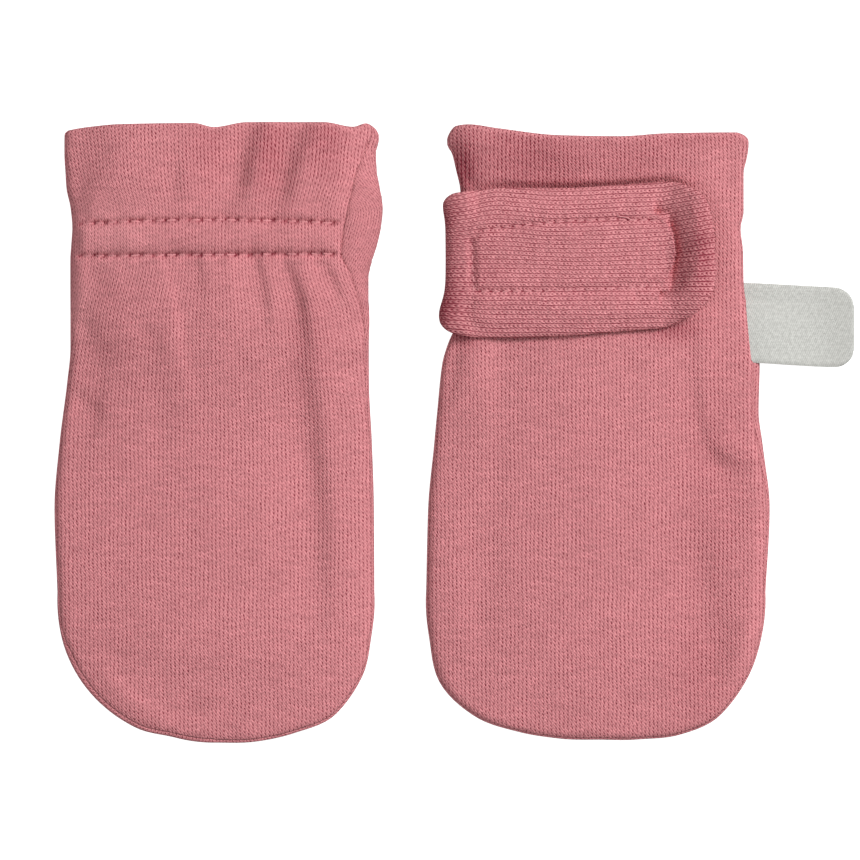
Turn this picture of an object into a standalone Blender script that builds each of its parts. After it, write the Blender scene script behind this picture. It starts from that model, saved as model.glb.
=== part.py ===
"""A pair of thumbless baby mittens in doubled knit cloth, lying flat side by side.

The left mitten lies with its gathered palm side up, the right one with its strap side up.
Lengths are millimetres until a mesh is made. Each mitten has its own plan: x runs across
the hand, y runs from the centre of the rounded tip to the wrist, and z is up from the
surface that the pair lies on.
"""
import bisect
import math
from collections import namedtuple

import bmesh
import bpy
from mathutils import Vector

MILLIMETRE = 0.001

# ---------------------------------------------------------------- driving sizes
WALL = 1.7                # two layers of interlock knit, sewn as one panel
SEAM_GAP = 0.3            # clearance between pieces that are sewn together
SEAM_HEIGHT = 2.1         # the side seam's height above the underside
UPPER_ROUND = 2.4         # how far in the upper face takes to round up from the seam
UNDER_ROUND = 3.0         # how far in the under face takes to come down flat
ROUND_POWER = 2.2         # exponent of the rounded rim, 2 would be an ellipse
CROWN_SHARE = 0.62        # share of the height that rises slowly to the middle
CLOSED_HEIGHT = 3.2       # height of both panels pressed together
WRIST_Y = 92.0            # nominal wrist edge, which the wrist line then bends
WRIST_BEND_REACH = 12.0   # length of cloth that follows the wrist line
TIP_CENTRE_Y = -31.9      # tip centre of both mittens on the pair's Y axis
DEEPEST_RELIEF = -2.1     # no trough is deeper
RELIEF_IN_WALL = 0.5      # troughs deeper than this show on the panel's inner face too
RELIEF_RIM = 3.0          # how far in from the outline the folds take to rise
FLANK_STEEPNESS = 1.2     # of the step in a flank, over its spread
FLANK_REACH = 3.2         # how many spreads a flank takes to ease back

CHANNEL_LOW = 67.4        # lower stitch row of the elastic channel
CHANNEL_HIGH = 74.2       # upper stitch row
CHANNEL_PUFF = 0.60       # how far the cloth stands up over the elastic
STITCH_SINK = 0.45        # how far a stitch row pulls the cloth down
STITCH_SPREAD = 0.8       # half width of that furrow
ELASTIC_WIDTH = 5.4
ELASTIC_THICK = 0.6
ELASTIC_INSET = 9.0       # from the outline to the elastic's end, where the hollow is high enough
ELASTIC_SEWN = 3.2        # from a seam that lies further in to the elastic's end

STRAP_THICK = 1.4         # two layers of knit
STRAP_LEAST = 1.0         # the strap is never thinner, even where stitches pull it in
STRAP_EDGE_ROUND = 1.5
STRAP_BEND_START = -26.5  # x where the strap starts to turn down over the mitten's side
STRAP_BEND_RADIUS = 2.1   # height of the turn, for the strap's middle layer
STRAP_BEND_OUT = 3.15     # the turn is wider than it is high
STRAP_BEND_ARC = 2.88     # length of strap to each radian of the turn
STRAP_BEND_HEIGHT = 5.8   # of the middle layer where the turn starts
STRAP_SETTLE = 2.4        # length over which the strap's under face settles onto the mitten
STRAP_RIM_RISE = 2.8      # length over which its upper face comes up to the rims
HIDDEN_STRAP_REACH = 42.5  # length of the left mitten's strap from its tip centre
PRESS = 2.1               # how far the closed strap presses the cuff down at its upper edge
PRESS_BELOW = 0.3         # the same at the edge nearer the finger tips
PRESS_START = 0.5         # how far inside the strap's edge the cloth starts to come up
PRESS_EASE = 2.0          # length over which the cloth comes up again beside the strap
PRESS_UNDER = 9.0         # the same under the strap
PRESS_END = 12.0          # x where the press starts to fade towards the strap's free end
PRESS_END_FADE = 8.0
LOWER_RIM_Y = 62.0        # up to here the strap has its lower rim's shape
PRESS_BLEND = 14.0        # length over which the press changes to the upper rim's
RIM_BLEND = 8.0           # the same for the rim's height

TAPE_LENGTH = 38.8
TAPE_WIDTH = 14.2
TAPE_THICK = 0.4          # hook tape and loop tape, each
TAPE_SLANT = math.radians(1.6)
TAPE_CENTRE = (-5.8, 67.2)
TAPE_MARGIN = 0.8         # how far outside the tape the strap starts to come down
TAPE_EASE = 0.8           # length over which it then comes down
TAPE_SINK = 0.4           # furrow of the stitched rectangle
TAPE_SINK_SPREAD = 0.8
TAPES_RISE = 2 * (TAPE_THICK + SEAM_GAP)
STRAP_RISE = STRAP_THICK + SEAM_GAP
LIFT_MARGIN = 1.8         # how far outside a strap or tape the cloth starts to come down
UNDER_LIFT_REACH = 5.5    # length over which the under panel then comes down
UPPER_LIFT_REACH = 22.0   # the same for the upper panel, which bridges more widely
LIFT_RIM = 12.0            # how far in from the outline the upper panel is free to bridge
INNER_SEAM_GAP = 0.5      # clearance between the panels' inner edges

LABEL_THICK = 0.6         # woven tape, folded once
LABEL_FALL = 17.5         # length over which the label comes down to the surface

SideRow = namedtuple("SideRow", "y left right")        # half widths of an outline
TipRow = namedtuple("TipRow", "angle radius")          # degrees round the tip from +x
WristRow = namedtuple("WristRow", "x y")               # the folded wrist edge
SeamRow = namedtuple("SeamRow", "y left right")        # how far in the seam lies on top
HeightRow = namedtuple("HeightRow", "y height")        # whole height along the middle
LabelRow = namedtuple("LabelRow", "x low high")        # the label's two long edges
Fold = namedtuple("Fold", "start middle end spread points")    # ridge, or trough below 0
Flank = namedtuple("Flank", "start middle end spread points")  # step up, left of the path
Bulge = namedtuple("Bulge", "y rise spread")           # where the turned strap stands out
Mitten = namedtuple("Mitten", "centre_x sides tip wrist seam heights folds gathered lifted")
Spoke = namedtuple("Spoke", "start end seam")          # a line in from the outline
Rings = namedtuple("Rings", "rim_reach rim_count flat_count")
PathFrame = namedtuple("PathFrame", "distance along side overrun")

# ---------------------------------------------------------------- left mitten, palm side up
LEFT = Mitten(
    centre_x=-48.0,
    sides=(
        SideRow(94.0, 29.6, 33.0), SideRow(90.4, 30.0, 33.0), SideRow(87.2, 30.0, 32.4),
        SideRow(84.0, 29.8, 32.6), SideRow(80.8, 29.6, 33.2), SideRow(77.0, 28.8, 33.8),
        SideRow(72.8, 28.4, 33.4), SideRow(69.6, 28.6, 32.7), SideRow(66.4, 28.8, 31.7),
        SideRow(61.6, 28.8, 30.8), SideRow(55.2, 28.8, 31.1), SideRow(48.8, 28.8, 31.0),
        SideRow(42.4, 29.4, 31.0), SideRow(29.6, 31.0, 31.6), SideRow(16.8, 32.0, 32.0),
        SideRow(0.0, 31.4, 32.1)),
    tip=(
        TipRow(0, 32.1), TipRow(15, 32.7), TipRow(30, 34.2), TipRow(45, 34.6),
        TipRow(60, 32.6), TipRow(75, 31.1), TipRow(90, 30.2), TipRow(105, 30.2),
        TipRow(120, 31.4), TipRow(150, 32.1), TipRow(180, 31.4)),
    wrist=(
        WristRow(-29.6, 92.3), WristRow(-27.6, 92.7), WristRow(-24.8, 93.1),
        WristRow(-18.8, 93.6), WristRow(-4.0, 93.8), WristRow(0.0, 93.0),
        WristRow(6.6, 94.0), WristRow(22.0, 94.0), WristRow(27.8, 93.1),
        WristRow(30.4, 93.8), WristRow(33.0, 92.2)),
    seam=(
        SeamRow(94.0, 0.3, 0.9), SeamRow(89.6, 0.3, 1.4), SeamRow(87.0, 0.3, 2.2),
        SeamRow(83.2, 0.3, 4.4), SeamRow(80.4, 0.3, 5.6), SeamRow(76.6, 0.3, 7.0),
        SeamRow(72.0, 0.3, 7.4), SeamRow(67.6, 0.3, 6.6), SeamRow(63.2, 0.3, 3.4),
        SeamRow(58.6, 0.3, 2.0), SeamRow(50.4, 0.3, 0.8), SeamRow(30.0, 0.3, 0.5),
        SeamRow(-8.0, 0.5, 0.4), SeamRow(-14.0, 1.0, 0.4), SeamRow(-24.0, 0.9, 0.5),
        SeamRow(-35.0, 0.6, 0.6)),
    heights=(
        HeightRow(94.0, 5.0), HeightRow(84.0, 5.5), HeightRow(74.0, 5.8),
        HeightRow(60.0, 6.1), HeightRow(30.0, 6.2), HeightRow(0.0, 5.8),
        HeightRow(-20.0, 5.2), HeightRow(-35.0, 4.7)),
    folds=(
        Flank(0.95, 1.85, 0.70, 2.3, ((10.4, 93.4), (7.4, 86.4), (6.2, 81.4), (4.6, 77.4))),
        Flank(0.85, 1.90, 1.00, 2.4, ((20.4, 93.4), (16.8, 86.4), (15.0, 81.4), (14.2, 77.4))),
        Flank(0.30, 0.65, 0.45, 3.2, ((25.4, 92.4), (23.0, 86.4), (21.4, 81.4), (20.4, 77.4))),
        Flank(0.25, 0.35, 0.30, 3.4, ((-27.4, 92.0), (-26.8, 84.4), (-27.4, 75.4))),
        Flank(0.60, 0.75, 0.35, 1.3, ((14.4, 67.0), (16.4, 62.4), (17.8, 57.4), (18.6, 51.4))),
        Flank(0.55, 1.25, 0.12, 2.7, ((17.8, 56.4), (18.6, 46.4), (19.9, 37.4), (20.8, 28.4),
                                      (21.7, 19.4), (22.2, 9.4), (22.6, -1.6), (20.8, -11.6))),
        Flank(0.55, 0.50, 0.10, 1.4, ((9.0, 66.8), (10.6, 59.4), (11.4, 50.4))),
        Flank(-0.25, -0.38, -0.08, 1.6, ((-9.6, 65.4), (-7.8, 58.4), (-6.4, 48.4), (-3.4, 37.4))),
        Flank(0.10, 0.42, 0.10, 1.8, ((-28.4, 41.0), (-25.0, 38.4), (-21.2, 34.8))),
        Flank(0.20, 0.35, 0.10, 1.8, ((-21.8, 44.4), (-22.6, 36.4), (-25.4, 26.4))),
        Fold(-0.05, -0.25, -0.10, 2.6, ((-13.4, 46.4), (-10.8, 33.4), (-12.6, 20.4))),
        Fold(0.10, 0.45, 0.30, 2.2, ((-25.0, -12.6), (-18.4, -20.4), (-11.2, -25.4))),
        Fold(-0.25, -0.50, -0.30, 2.0, ((-7.0, -24.4), (-3.0, -23.8), (2.2, -23.4))),
        Flank(0.15, 0.32, 0.15, 3.2, ((-24.8, -9.6), (-10.0, -14.2), (8.0, -15.0), (20.0, -12.0)))),
    gathered=True,
    lifted=True)

# ---------------------------------------------------------------- right mitten, strap side up
RIGHT = Mitten(
    centre_x=28.8,
    sides=(
        SideRow(93.6, 30.2, 30.2), SideRow(90.4, 30.2, 30.2), SideRow(87.2, 29.2, 29.8),
        SideRow(84.0, 28.4, 29.2), SideRow(80.8, 27.6, 29.2), SideRow(76.0, 27.3, 29.2),
        SideRow(72.8, 27.3, 28.6), SideRow(68.0, 27.3, 29.1), SideRow(61.6, 27.3, 29.2),
        SideRow(57.0, 27.4, 29.9), SideRow(54.0, 27.7, 30.7), SideRow(51.4, 29.3, 31.3),
        SideRow(48.0, 30.6, 32.0), SideRow(45.6, 31.2, 32.4), SideRow(36.0, 32.2, 32.2),
        SideRow(29.6, 32.8, 33.0), SideRow(16.8, 34.0, 34.4), SideRow(0.0, 34.4, 33.6)),
    tip=(
        TipRow(0, 33.6), TipRow(15, 34.0), TipRow(30, 34.6), TipRow(45, 34.8),
        TipRow(60, 33.0), TipRow(75, 30.6), TipRow(90, 29.6), TipRow(105, 30.4),
        TipRow(120, 32.3), TipRow(135, 35.1), TipRow(150, 36.5), TipRow(165, 35.0),
        TipRow(180, 34.4)),
    wrist=(
        WristRow(-30.2, 91.4), WristRow(-28.4, 93.3), WristRow(-26.0, 93.6),
        WristRow(-20.0, 92.8), WristRow(-7.6, 91.4), WristRow(4.4, 91.2),
        WristRow(14.0, 91.8), WristRow(27.6, 92.0), WristRow(30.2, 91.0)),
    seam=(
        SeamRow(93.6, 0.3, 0.3), SeamRow(66.0, 0.3, 0.3), SeamRow(61.6, 0.3, 0.3),
        SeamRow(52.0, 0.3, 1.0), SeamRow(46.0, 0.3, 1.2), SeamRow(29.0, 0.3, 1.1),
        SeamRow(17.0, 0.3, 0.7), SeamRow(0.0, 0.3, 0.4), SeamRow(-37.0, 0.3, 0.3)),
    heights=(
        HeightRow(93.6, 5.1), HeightRow(84.0, 5.3), HeightRow(66.0, 5.4),
        HeightRow(45.0, 6.0), HeightRow(20.0, 6.2), HeightRow(0.0, 5.8),
        HeightRow(-20.0, 5.2), HeightRow(-37.0, 4.7)),
    folds=(
        Flank(0.85, 0.60, 0.35, 4.2, ((-29.0, 84.6), (-16.0, 85.2), (-4.0, 85.6), (12.0, 86.2))),
        Flank(0.40, 1.00, 1.10, 3.4, ((-28.6, 92.0), (-27.8, 86.4), (-26.4, 80.4))),
        Flank(-0.15, -0.35, -0.25, 2.6, ((25.0, 91.6), (24.6, 85.0), (25.4, 78.0))),
        Flank(0.65, 0.60, 0.10, 2.0, ((-27.0, 51.4), (-28.2, 43.4), (-30.4, 34.4))),
        Flank(-0.35, -0.40, -0.10, 2.8, ((-20.8, 51.4), (-21.4, 41.4), (-21.8, 29.4))),
        Flank(-0.10, -0.32, -0.15, 2.8, ((-26.6, 20.4), (-27.4, 6.4), (-25.0, -10.6))),
        Flank(0.30, 0.40, 0.42, 1.8, ((19.4, 51.4), (20.2, 38.4), (21.4, 32.4), (23.8, 27.6))),
        Flank(0.42, 0.50, 0.20, 1.8, ((23.8, 27.6), (27.4, 25.8), (31.4, 25.2))),
        Flank(0.25, 0.85, 0.75, 4.0, ((20.4, 19.4), (21.8, 9.4), (24.2, -2.0), (25.2, -9.6))),
        Fold(-0.30, -0.55, -0.20, 3.4, ((25.0, -8.0), (18.4, -16.6), (10.4, -22.6), (3.4, -26.4)))),
    gathered=False,
    lifted=False)

# ---------------------------------------------------------------- strap and label
# The strap's own plan is turned: its y runs to the sewn root along the mitten's -x, and
# its x runs up the mitten, so "left" is the edge nearer the finger tips.
STRAP_TIP_CENTRE = (11.6, 66.4)
STRAP_SIDES = (
    SideRow(46.0, 12.0, 11.8), SideRow(43.0, 13.4, 12.3), SideRow(40.0, 14.8, 13.4),
    SideRow(36.0, 15.5, 13.9), SideRow(30.0, 15.6, 14.4), SideRow(18.0, 15.2, 14.4),
    SideRow(8.0, 14.4, 15.0), SideRow(0.0, 13.8, 15.5))
STRAP_TIP = (
    TipRow(0, 15.5), TipRow(20, 16.1), TipRow(32, 16.0), TipRow(43, 15.1), TipRow(60, 13.1),
    TipRow(86, 11.8), TipRow(113, 12.7), TipRow(132, 13.2), TipRow(150, 13.2),
    TipRow(180, 13.8))
STRAP_PLATEAU = 3.0       # top of the closed strap above the mitten, on the tapes
STRAP_RIM_TOP = 2.2       # top of the rim nearer the finger tips
STRAP_UPPER_RIM_TOP = 2.6
STRAP_RIM_IN = 1.0        # the rims are level this far in, then rise to the plateau
STRAP_PLATEAU_RISE = 3.0
STRAP_BULGES = (Bulge(55.5, 1.2, 3.5), Bulge(77.0, 0.4, 2.5))
END_TOP = 6.2             # the free end of the strap stands up past the tape
END_RISE_START = 13.0
END_RISE = 8.6
END_LIFT = 3.6            # how far its under face is lifted there
END_LIFT_START = 15.4
END_LIFT_RISE = 5.5
END_DIP = 2.3             # how far the cloth falls away past the rounded end of the stitches
END_DIP_REACH = 2.2       # length over which it comes up again
END_DIP_EDGE = 0.4
END_DIP_LOW = 56.6        # the dip lies between these two heights on the hand
END_DIP_HIGH = 80.4
END_DIP_FADE = 5.0
# The rounded end of the stitches that hold the hook tape.
SEWN_END = ((10.2, 76.2), (13.3, 74.6), (14.2, 71.0), (14.1, 65.6), (13.2, 61.7), (10.0, 60.3))
LABEL_ROWS = (
    LabelRow(47.0, 45.0, 61.0), LabelRow(49.2, 45.6, 60.3), LabelRow(50.5, 47.2, 59.3),
    LabelRow(51.4, 52.0, 57.9))
LABEL_ROOT_LOW = (31.1, 45.9)
LABEL_ROOT_HIGH = (29.2, 62.1)

# ---------------------------------------------------------------- rows and rings of the lofts
ROW_HEIGHTS = (88.5, 85.5, 83.2, 81.0, 78.8, 77.2, 75.4, 74.2, 73.0, 70.8, 68.6, 67.4, 66.2, 64.4,
               61.5, 58.0, 54.0, 49.5, 45.0, 40.0, 35.0, 29.5, 24.0, 18.0, 12.0, 6.0, 0.0)
TIP_SPOKES = 15
LIP_STEPS = 3
SECTION_STEPS = 32

RELIEF_RINGS = Rings(4.4, 5, 11)
LIFTED_RINGS = Rings(4.4, 6, 7)
PLAIN_RINGS = Rings(4.4, 6, 3)
LINING_RINGS = Rings(2.6, 2, 4)

STRAP_ROW_HEIGHTS = (46.0, 44.7, 43.4, 42.1, 40.8, 39.5, 37.1, 35.0, 32.5, 29.0, 25.0, 21.0,
                     17.0, 13.0, 9.0, 4.5, 0.0)
Skin = namedtuple("Skin", "tip_spokes upper_insets under_insets")
CLOSED_STRAP_SKIN = Skin(
    19, (0.0, 0.25, 0.8, 1.6, 2.6, 4.0, 5.4, 6.6, 7.6, 8.4, 9.2, 10.2, 11.2),
    (0.35, 1.3, 3.4, 5.0, 5.9, 6.7, 7.6, 8.6, 9.6, 10.6, 11.4))
HIDDEN_STRAP_SKIN = Skin(11, (0.0, 0.25, 0.8, 1.6, 5.0), (0.35, 1.3, 5.0))

PINK_KNIT = (0.539, 0.198, 0.216)
PINK_TAPE = (0.430, 0.150, 0.168)
WHITE_ELASTIC = (0.800, 0.790, 0.760)
GREY_LABEL = (0.638, 0.645, 0.604)


# ---------------------------------------------------------------- curves and plans
def spline(xs, ys):
    """A smooth curve through the points that doesn't overshoot them."""
    slopes = [(ys[i + 1] - ys[i]) / (xs[i + 1] - xs[i]) for i in range(len(xs) - 1)]
    inner = [0.0 if a * b <= 0 else 2 * a * b / (a + b) for a, b in zip(slopes, slopes[1:])]
    tangents = [slopes[0], *inner, slopes[-1]]

    def value(x):
        x = min(max(x, xs[0]), xs[-1])
        i = min(bisect.bisect_right(xs, x), len(xs) - 1) - 1
        width = xs[i + 1] - xs[i]
        t = (x - xs[i]) / width
        start = (1 + 2 * t) * (1 - t) ** 2 * ys[i] + t * (1 - t) ** 2 * width * tangents[i]
        end = t * t * (3 - 2 * t) * ys[i + 1] + t * t * (t - 1) * width * tangents[i + 1]
        return start + end

    return value


def column(rows, key, value):
    """A spline of one named column of a table against another."""
    rows = sorted(rows, key=lambda row: getattr(row, key))
    return spline([getattr(row, key) for row in rows], [getattr(row, value) for row in rows])


def smooth_step(t):
    t = min(max(t, 0.0), 1.0)
    return t * t * (3 - 2 * t)


def rounded(t, power=ROUND_POWER):
    """Rises from 0 to 1 like the quarter of a rounded rim, upright at first."""
    t = min(max(t, 0.0), 1.0)
    return (1 - (1 - t) ** power) ** (1 / power)


def hump(distance, spread):
    return math.exp(-(distance / spread) ** 2)


class Outline:
    """A U-shaped plan: two sides running up to an open end, and a round tip below."""

    def __init__(self, sides, tip):
        self.left = column(sides, "y", "left")
        self.right = column(sides, "y", "right")
        self.radius = column(tip, "angle", "radius")

    def reach(self, x, y):
        """Length of the spoke that a place lies on."""
        if y < 0:
            return self.radius(math.degrees(math.atan2(-y, x)))
        return self.left(y) if x < 0 else self.right(y)

    def inset(self, x, y):
        """How far in from the outline a place lies, below 0 outside it."""
        across = math.hypot(x, y) if y < 0 else abs(x)
        return self.reach(x, y) - across

    def spokes(self, row_heights, tip_spokes, seam):
        """Spokes from the open end down the left side, round the tip and up the right."""
        left = [Spoke((-self.left(y), y), (0.0, y), seam(-1, y)) for y in row_heights]
        right = [Spoke((self.right(y), y), (0.0, y), seam(1, y)) for y in row_heights]
        tip = []
        for step in range(1, tip_spokes + 1):
            angle = math.radians(180 * (1 - step / (tip_spokes + 1)))
            radius = self.radius(math.degrees(angle))
            start = (radius * math.cos(angle), -radius * math.sin(angle))
            tip.append(Spoke(start, (0.0, 0.0), seam(start[0], start[1])))
        return left + tip + right[::-1]


STRAP_OUTLINE = Outline(STRAP_SIDES, STRAP_TIP)


def on_strap(x, y):
    """A place in the right mitten's plan, in the strap's own turned plan."""
    return y - STRAP_TIP_CENTRE[1], STRAP_TIP_CENTRE[0] - x


def tape_distance(x, y):
    """Distance out from the tape's rectangle, below 0 inside it."""
    dx, dy = x - TAPE_CENTRE[0], y - TAPE_CENTRE[1]
    along = abs(dx * math.cos(TAPE_SLANT) + dy * math.sin(TAPE_SLANT)) - TAPE_LENGTH / 2
    across = abs(dy * math.cos(TAPE_SLANT) - dx * math.sin(TAPE_SLANT)) - TAPE_WIDTH / 2
    outside = math.hypot(max(along, 0.0), max(across, 0.0))
    return outside + min(max(along, across), 0.0)


def path_frame(x, y, points):
    """Where a place lies by a path: distance, share along, side and run past its ends."""
    frames = []
    for index, ((ax, ay), (bx, by)) in enumerate(zip(points, points[1:])):
        length = math.dist((ax, ay), (bx, by))
        dx, dy = (bx - ax) / length, (by - ay) / length
        run = (x - ax) * dx + (y - ay) * dy
        on_path = min(max(run, 0.0), length)
        across = (y - ay) * dx - (x - ax) * dy
        overrun = abs(run - on_path)
        share = (index + on_path / length) / (len(points) - 1)
        frames.append(PathFrame(math.hypot(across, overrun), share, across, overrun))
    return min(frames)


def fold_relief(folds, x, y):
    """Folds are ridges or troughs; flanks step up to the left of their path and ease back."""
    relief = 0.0
    for fold in folds:
        by = path_frame(x, y, fold.points)
        rise = spline((0.0, 0.5, 1.0), (fold.start, fold.middle, fold.end))(by.along)
        if isinstance(fold, Flank):
            share = by.side / fold.spread
            fading = hump(share, FLANK_REACH) * hump(by.overrun, 2 * fold.spread)
            relief += rise * math.tanh(FLANK_STEEPNESS * share) * fading
        else:
            relief += rise * hump(by.distance, fold.spread)
    return relief


def pressed_by_strap(x, y):
    """The closed strap presses the cloth down, most at its upper edge."""
    off = -STRAP_OUTLINE.inset(*on_strap(x, y))
    depth = PRESS_BELOW + (PRESS - PRESS_BELOW) * smooth_step((y - LOWER_RIM_Y) / PRESS_BLEND)
    before_end = 1 - smooth_step((x - PRESS_END) / PRESS_END_FADE)
    beside = 1 - smooth_step((off + PRESS_START) / PRESS_EASE)
    return -depth * before_end * beside * smooth_step((off + PRESS_UNDER) / PRESS_UNDER)


class Form:
    """The heights of one mitten's outer and inner faces over its plan."""

    def __init__(self, mitten):
        self.mitten = mitten
        self.outline = Outline(mitten.sides, mitten.tip)
        self.wrist = column(mitten.wrist, "x", "y")
        self.seam_left = column(mitten.seam, "y", "left")
        self.seam_right = column(mitten.seam, "y", "right")
        self.height = column(mitten.heights, "y", "height")

    def seam(self, x, y):
        return self.seam_left(y) if x < 0 else self.seam_right(y)

    def channel_relief(self, x, y):
        """The elastic channel stands up between two stitched furrows."""
        middle = (CHANNEL_LOW + CHANNEL_HIGH) / 2
        half = (CHANNEL_HIGH - CHANNEL_LOW) / 2
        puff = CHANNEL_PUFF * math.cos(min(abs(y - middle) / half, 1.0) * math.pi / 2)
        sink = hump(y - CHANNEL_LOW, STITCH_SPREAD) + hump(y - CHANNEL_HIGH, STITCH_SPREAD)
        from_seam = self.outline.inset(x, y) - self.seam(x, y)
        return (puff - STITCH_SINK * sink) * smooth_step(from_seam / 2)

    def relief(self, x, y):
        relief = fold_relief(self.mitten.folds, x, y)
        relief += self.channel_relief(x, y) if self.mitten.gathered else pressed_by_strap(x, y)
        lowest = max(DEEPEST_RELIEF, min(CLOSED_HEIGHT - self.smooth_upper(x, y), 0.0))
        return max(relief, lowest) * smooth_step(self.outline.inset(x, y) / RELIEF_RIM)

    def lift(self, x, y, reach):
        """The cloth rises over the mitten's own strap and tapes where they lie below."""
        if not self.mitten.lifted:
            return 0.0
        off_strap = -STRAP_OUTLINE.inset(*on_strap(-x, y))
        off_tape = tape_distance(-x, y)
        return (STRAP_RISE * (1 - smooth_step((off_strap - LIFT_MARGIN) / reach))
                + TAPES_RISE * (1 - smooth_step((off_tape - LIFT_MARGIN) / reach)))

    def under_lift(self, x, y):
        return self.lift(x, y, UNDER_LIFT_REACH)

    def upper_lift(self, x, y):
        """The upper panel is sewn to the under one at the rim and bridges the strap."""
        sewn = self.under_lift(x, y)
        bridged = self.lift(x, y, UPPER_LIFT_REACH)
        return sewn + (bridged - sewn) * smooth_step(self.outline.inset(x, y) / LIFT_RIM)

    def smooth_upper(self, x, y):
        inset = self.outline.inset(x, y)
        share = rounded(inset / UPPER_ROUND) * (1 - CROWN_SHARE)
        crown = math.sin(math.pi / 2 * max(inset, 0.0) / self.outline.reach(x, y)) * CROWN_SHARE
        return SEAM_HEIGHT + (self.height(y) - SEAM_HEIGHT) * (share + crown)

    def plain_upper(self, x, y):
        return self.smooth_upper(x, y) + self.upper_lift(x, y)

    def upper(self, x, y):
        return self.plain_upper(x, y) + self.relief(x, y)

    def upper_inside(self, x, y):
        inset = self.outline.inset(x, y) - WALL
        troughs = min(self.relief(x, y) + RELIEF_IN_WALL, 0.0)
        rise = max(self.smooth_upper(x, y) + troughs - WALL - SEAM_HEIGHT, 0.0)
        return SEAM_HEIGHT + rise * rounded(inset / UPPER_ROUND) + self.upper_lift(x, y)

    def under(self, x, y):
        inset = self.outline.inset(x, y)
        return SEAM_HEIGHT * (1 - rounded(inset / UNDER_ROUND)) + self.under_lift(x, y)

    def under_inside(self, x, y):
        inset = self.outline.inset(x, y) - WALL
        drop = SEAM_HEIGHT - WALL
        return SEAM_HEIGHT - drop * rounded(inset / UNDER_ROUND) + self.under_lift(x, y)

    def place(self, point):
        """A point of the mitten's plan in the pair's own frame, in metres."""
        x, y, z = point
        bend = smooth_step((y - WRIST_Y + WRIST_BEND_REACH) / (WRIST_BEND_REACH - WALL / 2))
        y += (self.wrist(x) - WRIST_Y) * bend
        return Vector((x + self.mitten.centre_x, y + TIP_CENTRE_Y, z)) * MILLIMETRE


# ---------------------------------------------------------------- sections along a spoke
class Section:
    """The line round a spoke's section: in under the rim, round it and back over the top."""

    def __init__(self, spoke, under, upper, first_inset):
        reach = math.dist(spoke.start, spoke.end)
        insets = [first_inset + (reach - first_inset) * (step / SECTION_STEPS) ** 2
                  for step in range(SECTION_STEPS + 1)]
        plan = [self.at_inset(spoke, inset / reach) for inset in insets]
        below = [(x, y, under(x, y)) for x, y in plan]
        above = [(x, y, upper(x, y)) for x, y in plan]
        self.points = below[:0:-1] + above
        lengths = [math.dist(a, b) for a, b in zip(self.points, self.points[1:])]
        self.arcs = [-sum(lengths[:SECTION_STEPS])]
        for length in lengths:
            self.arcs.append(self.arcs[-1] + length)
        self.insets = insets

    @staticmethod
    def at_inset(spoke, share):
        return tuple(a + (b - a) * share for a, b in zip(spoke.start, spoke.end))

    def arc_at(self, inset):
        """Arc length from the rim to a place on the upper line."""
        index = min(bisect.bisect_right(self.insets, inset), SECTION_STEPS) - 1
        low, high = self.insets[index], self.insets[index + 1]
        share = (inset - low) / (high - low)
        arcs = self.arcs[SECTION_STEPS:]
        return arcs[index] + (arcs[index + 1] - arcs[index]) * share

    def at(self, arc):
        index = min(max(bisect.bisect_right(self.arcs, arc), 1), len(self.arcs) - 1) - 1
        low, high = self.arcs[index], self.arcs[index + 1]
        share = (arc - low) / (high - low)
        return tuple(a + (b - a) * share for a, b in zip(self.points[index], self.points[index + 1]))


def ring_arcs(seam_arc, end_arc, rings, gap):
    """Arc lengths from the seam to the middle: close round the rim, then even."""
    side = math.copysign(1.0, end_arc)
    start = seam_arc + side * gap / 2
    rim_end = side * max(rings.rim_reach, side * start + rings.rim_reach / 2)
    rim = [start + (rim_end - start) * step / rings.rim_count for step in range(rings.rim_count)]
    flat = [rim_end + (end_arc - rim_end) * step / rings.flat_count
            for step in range(rings.flat_count)]
    return rim + flat


def wall_sections(form, spoke, on_top, rings):
    """One spoke of a panel: its outer points, its inner ones, and inner ones for the lip."""
    reach = math.dist(spoke.start, spoke.end)
    outer = Section(spoke, form.under, form.upper, 0.0)
    inner = Section(spoke, form.under_inside, form.upper_inside, WALL)
    outer_seam = outer.arc_at(spoke.seam)
    inner_seam = inner.arc_at(WALL + spoke.seam * (reach - WALL) / reach)
    outer_end = outer.arcs[-1 if on_top else 0]
    inner_end = inner.arcs[-1 if on_top else 0]
    outer_arcs = ring_arcs(outer_seam, outer_end, rings, SEAM_GAP)
    inner_arcs = ring_arcs(inner_seam, inner_end, LINING_RINGS, INNER_SEAM_GAP)
    shares = [(arc - outer_arcs[0]) / (outer_end - outer_arcs[0]) for arc in outer_arcs]
    facing_arcs = [inner_arcs[0] + (inner_end - inner_arcs[0]) * share for share in shares]
    return ([outer.at(arc) for arc in outer_arcs], [inner.at(arc) for arc in inner_arcs],
            [inner.at(arc) for arc in facing_arcs])


# ---------------------------------------------------------------- meshes
def add_row(bm, points):
    return [bm.verts.new(point) for point in points]


def join_rows(bm, first, second):
    """Quads between two rows with as many vertices."""
    for index in range(len(first) - 1):
        bm.faces.new((first[index], first[index + 1], second[index + 1], second[index]))


def zip_rows(bm, first, second):
    """Triangles between two rows that start and end side by side."""
    shares = []
    for row in (first, second):
        lengths = [(b.co - a.co).length for a, b in zip(row, row[1:])]
        walked = [sum(lengths[:count]) / sum(lengths) for count in range(1, len(row))]
        shares.append([*walked, math.inf])
    i = j = 0
    while i < len(first) - 1 or j < len(second) - 1:
        if shares[0][i] <= shares[1][j]:
            bm.faces.new((first[i], first[i + 1], second[j]))
            i += 1
        else:
            bm.faces.new((first[i], second[j + 1], second[j]))
            j += 1


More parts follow.
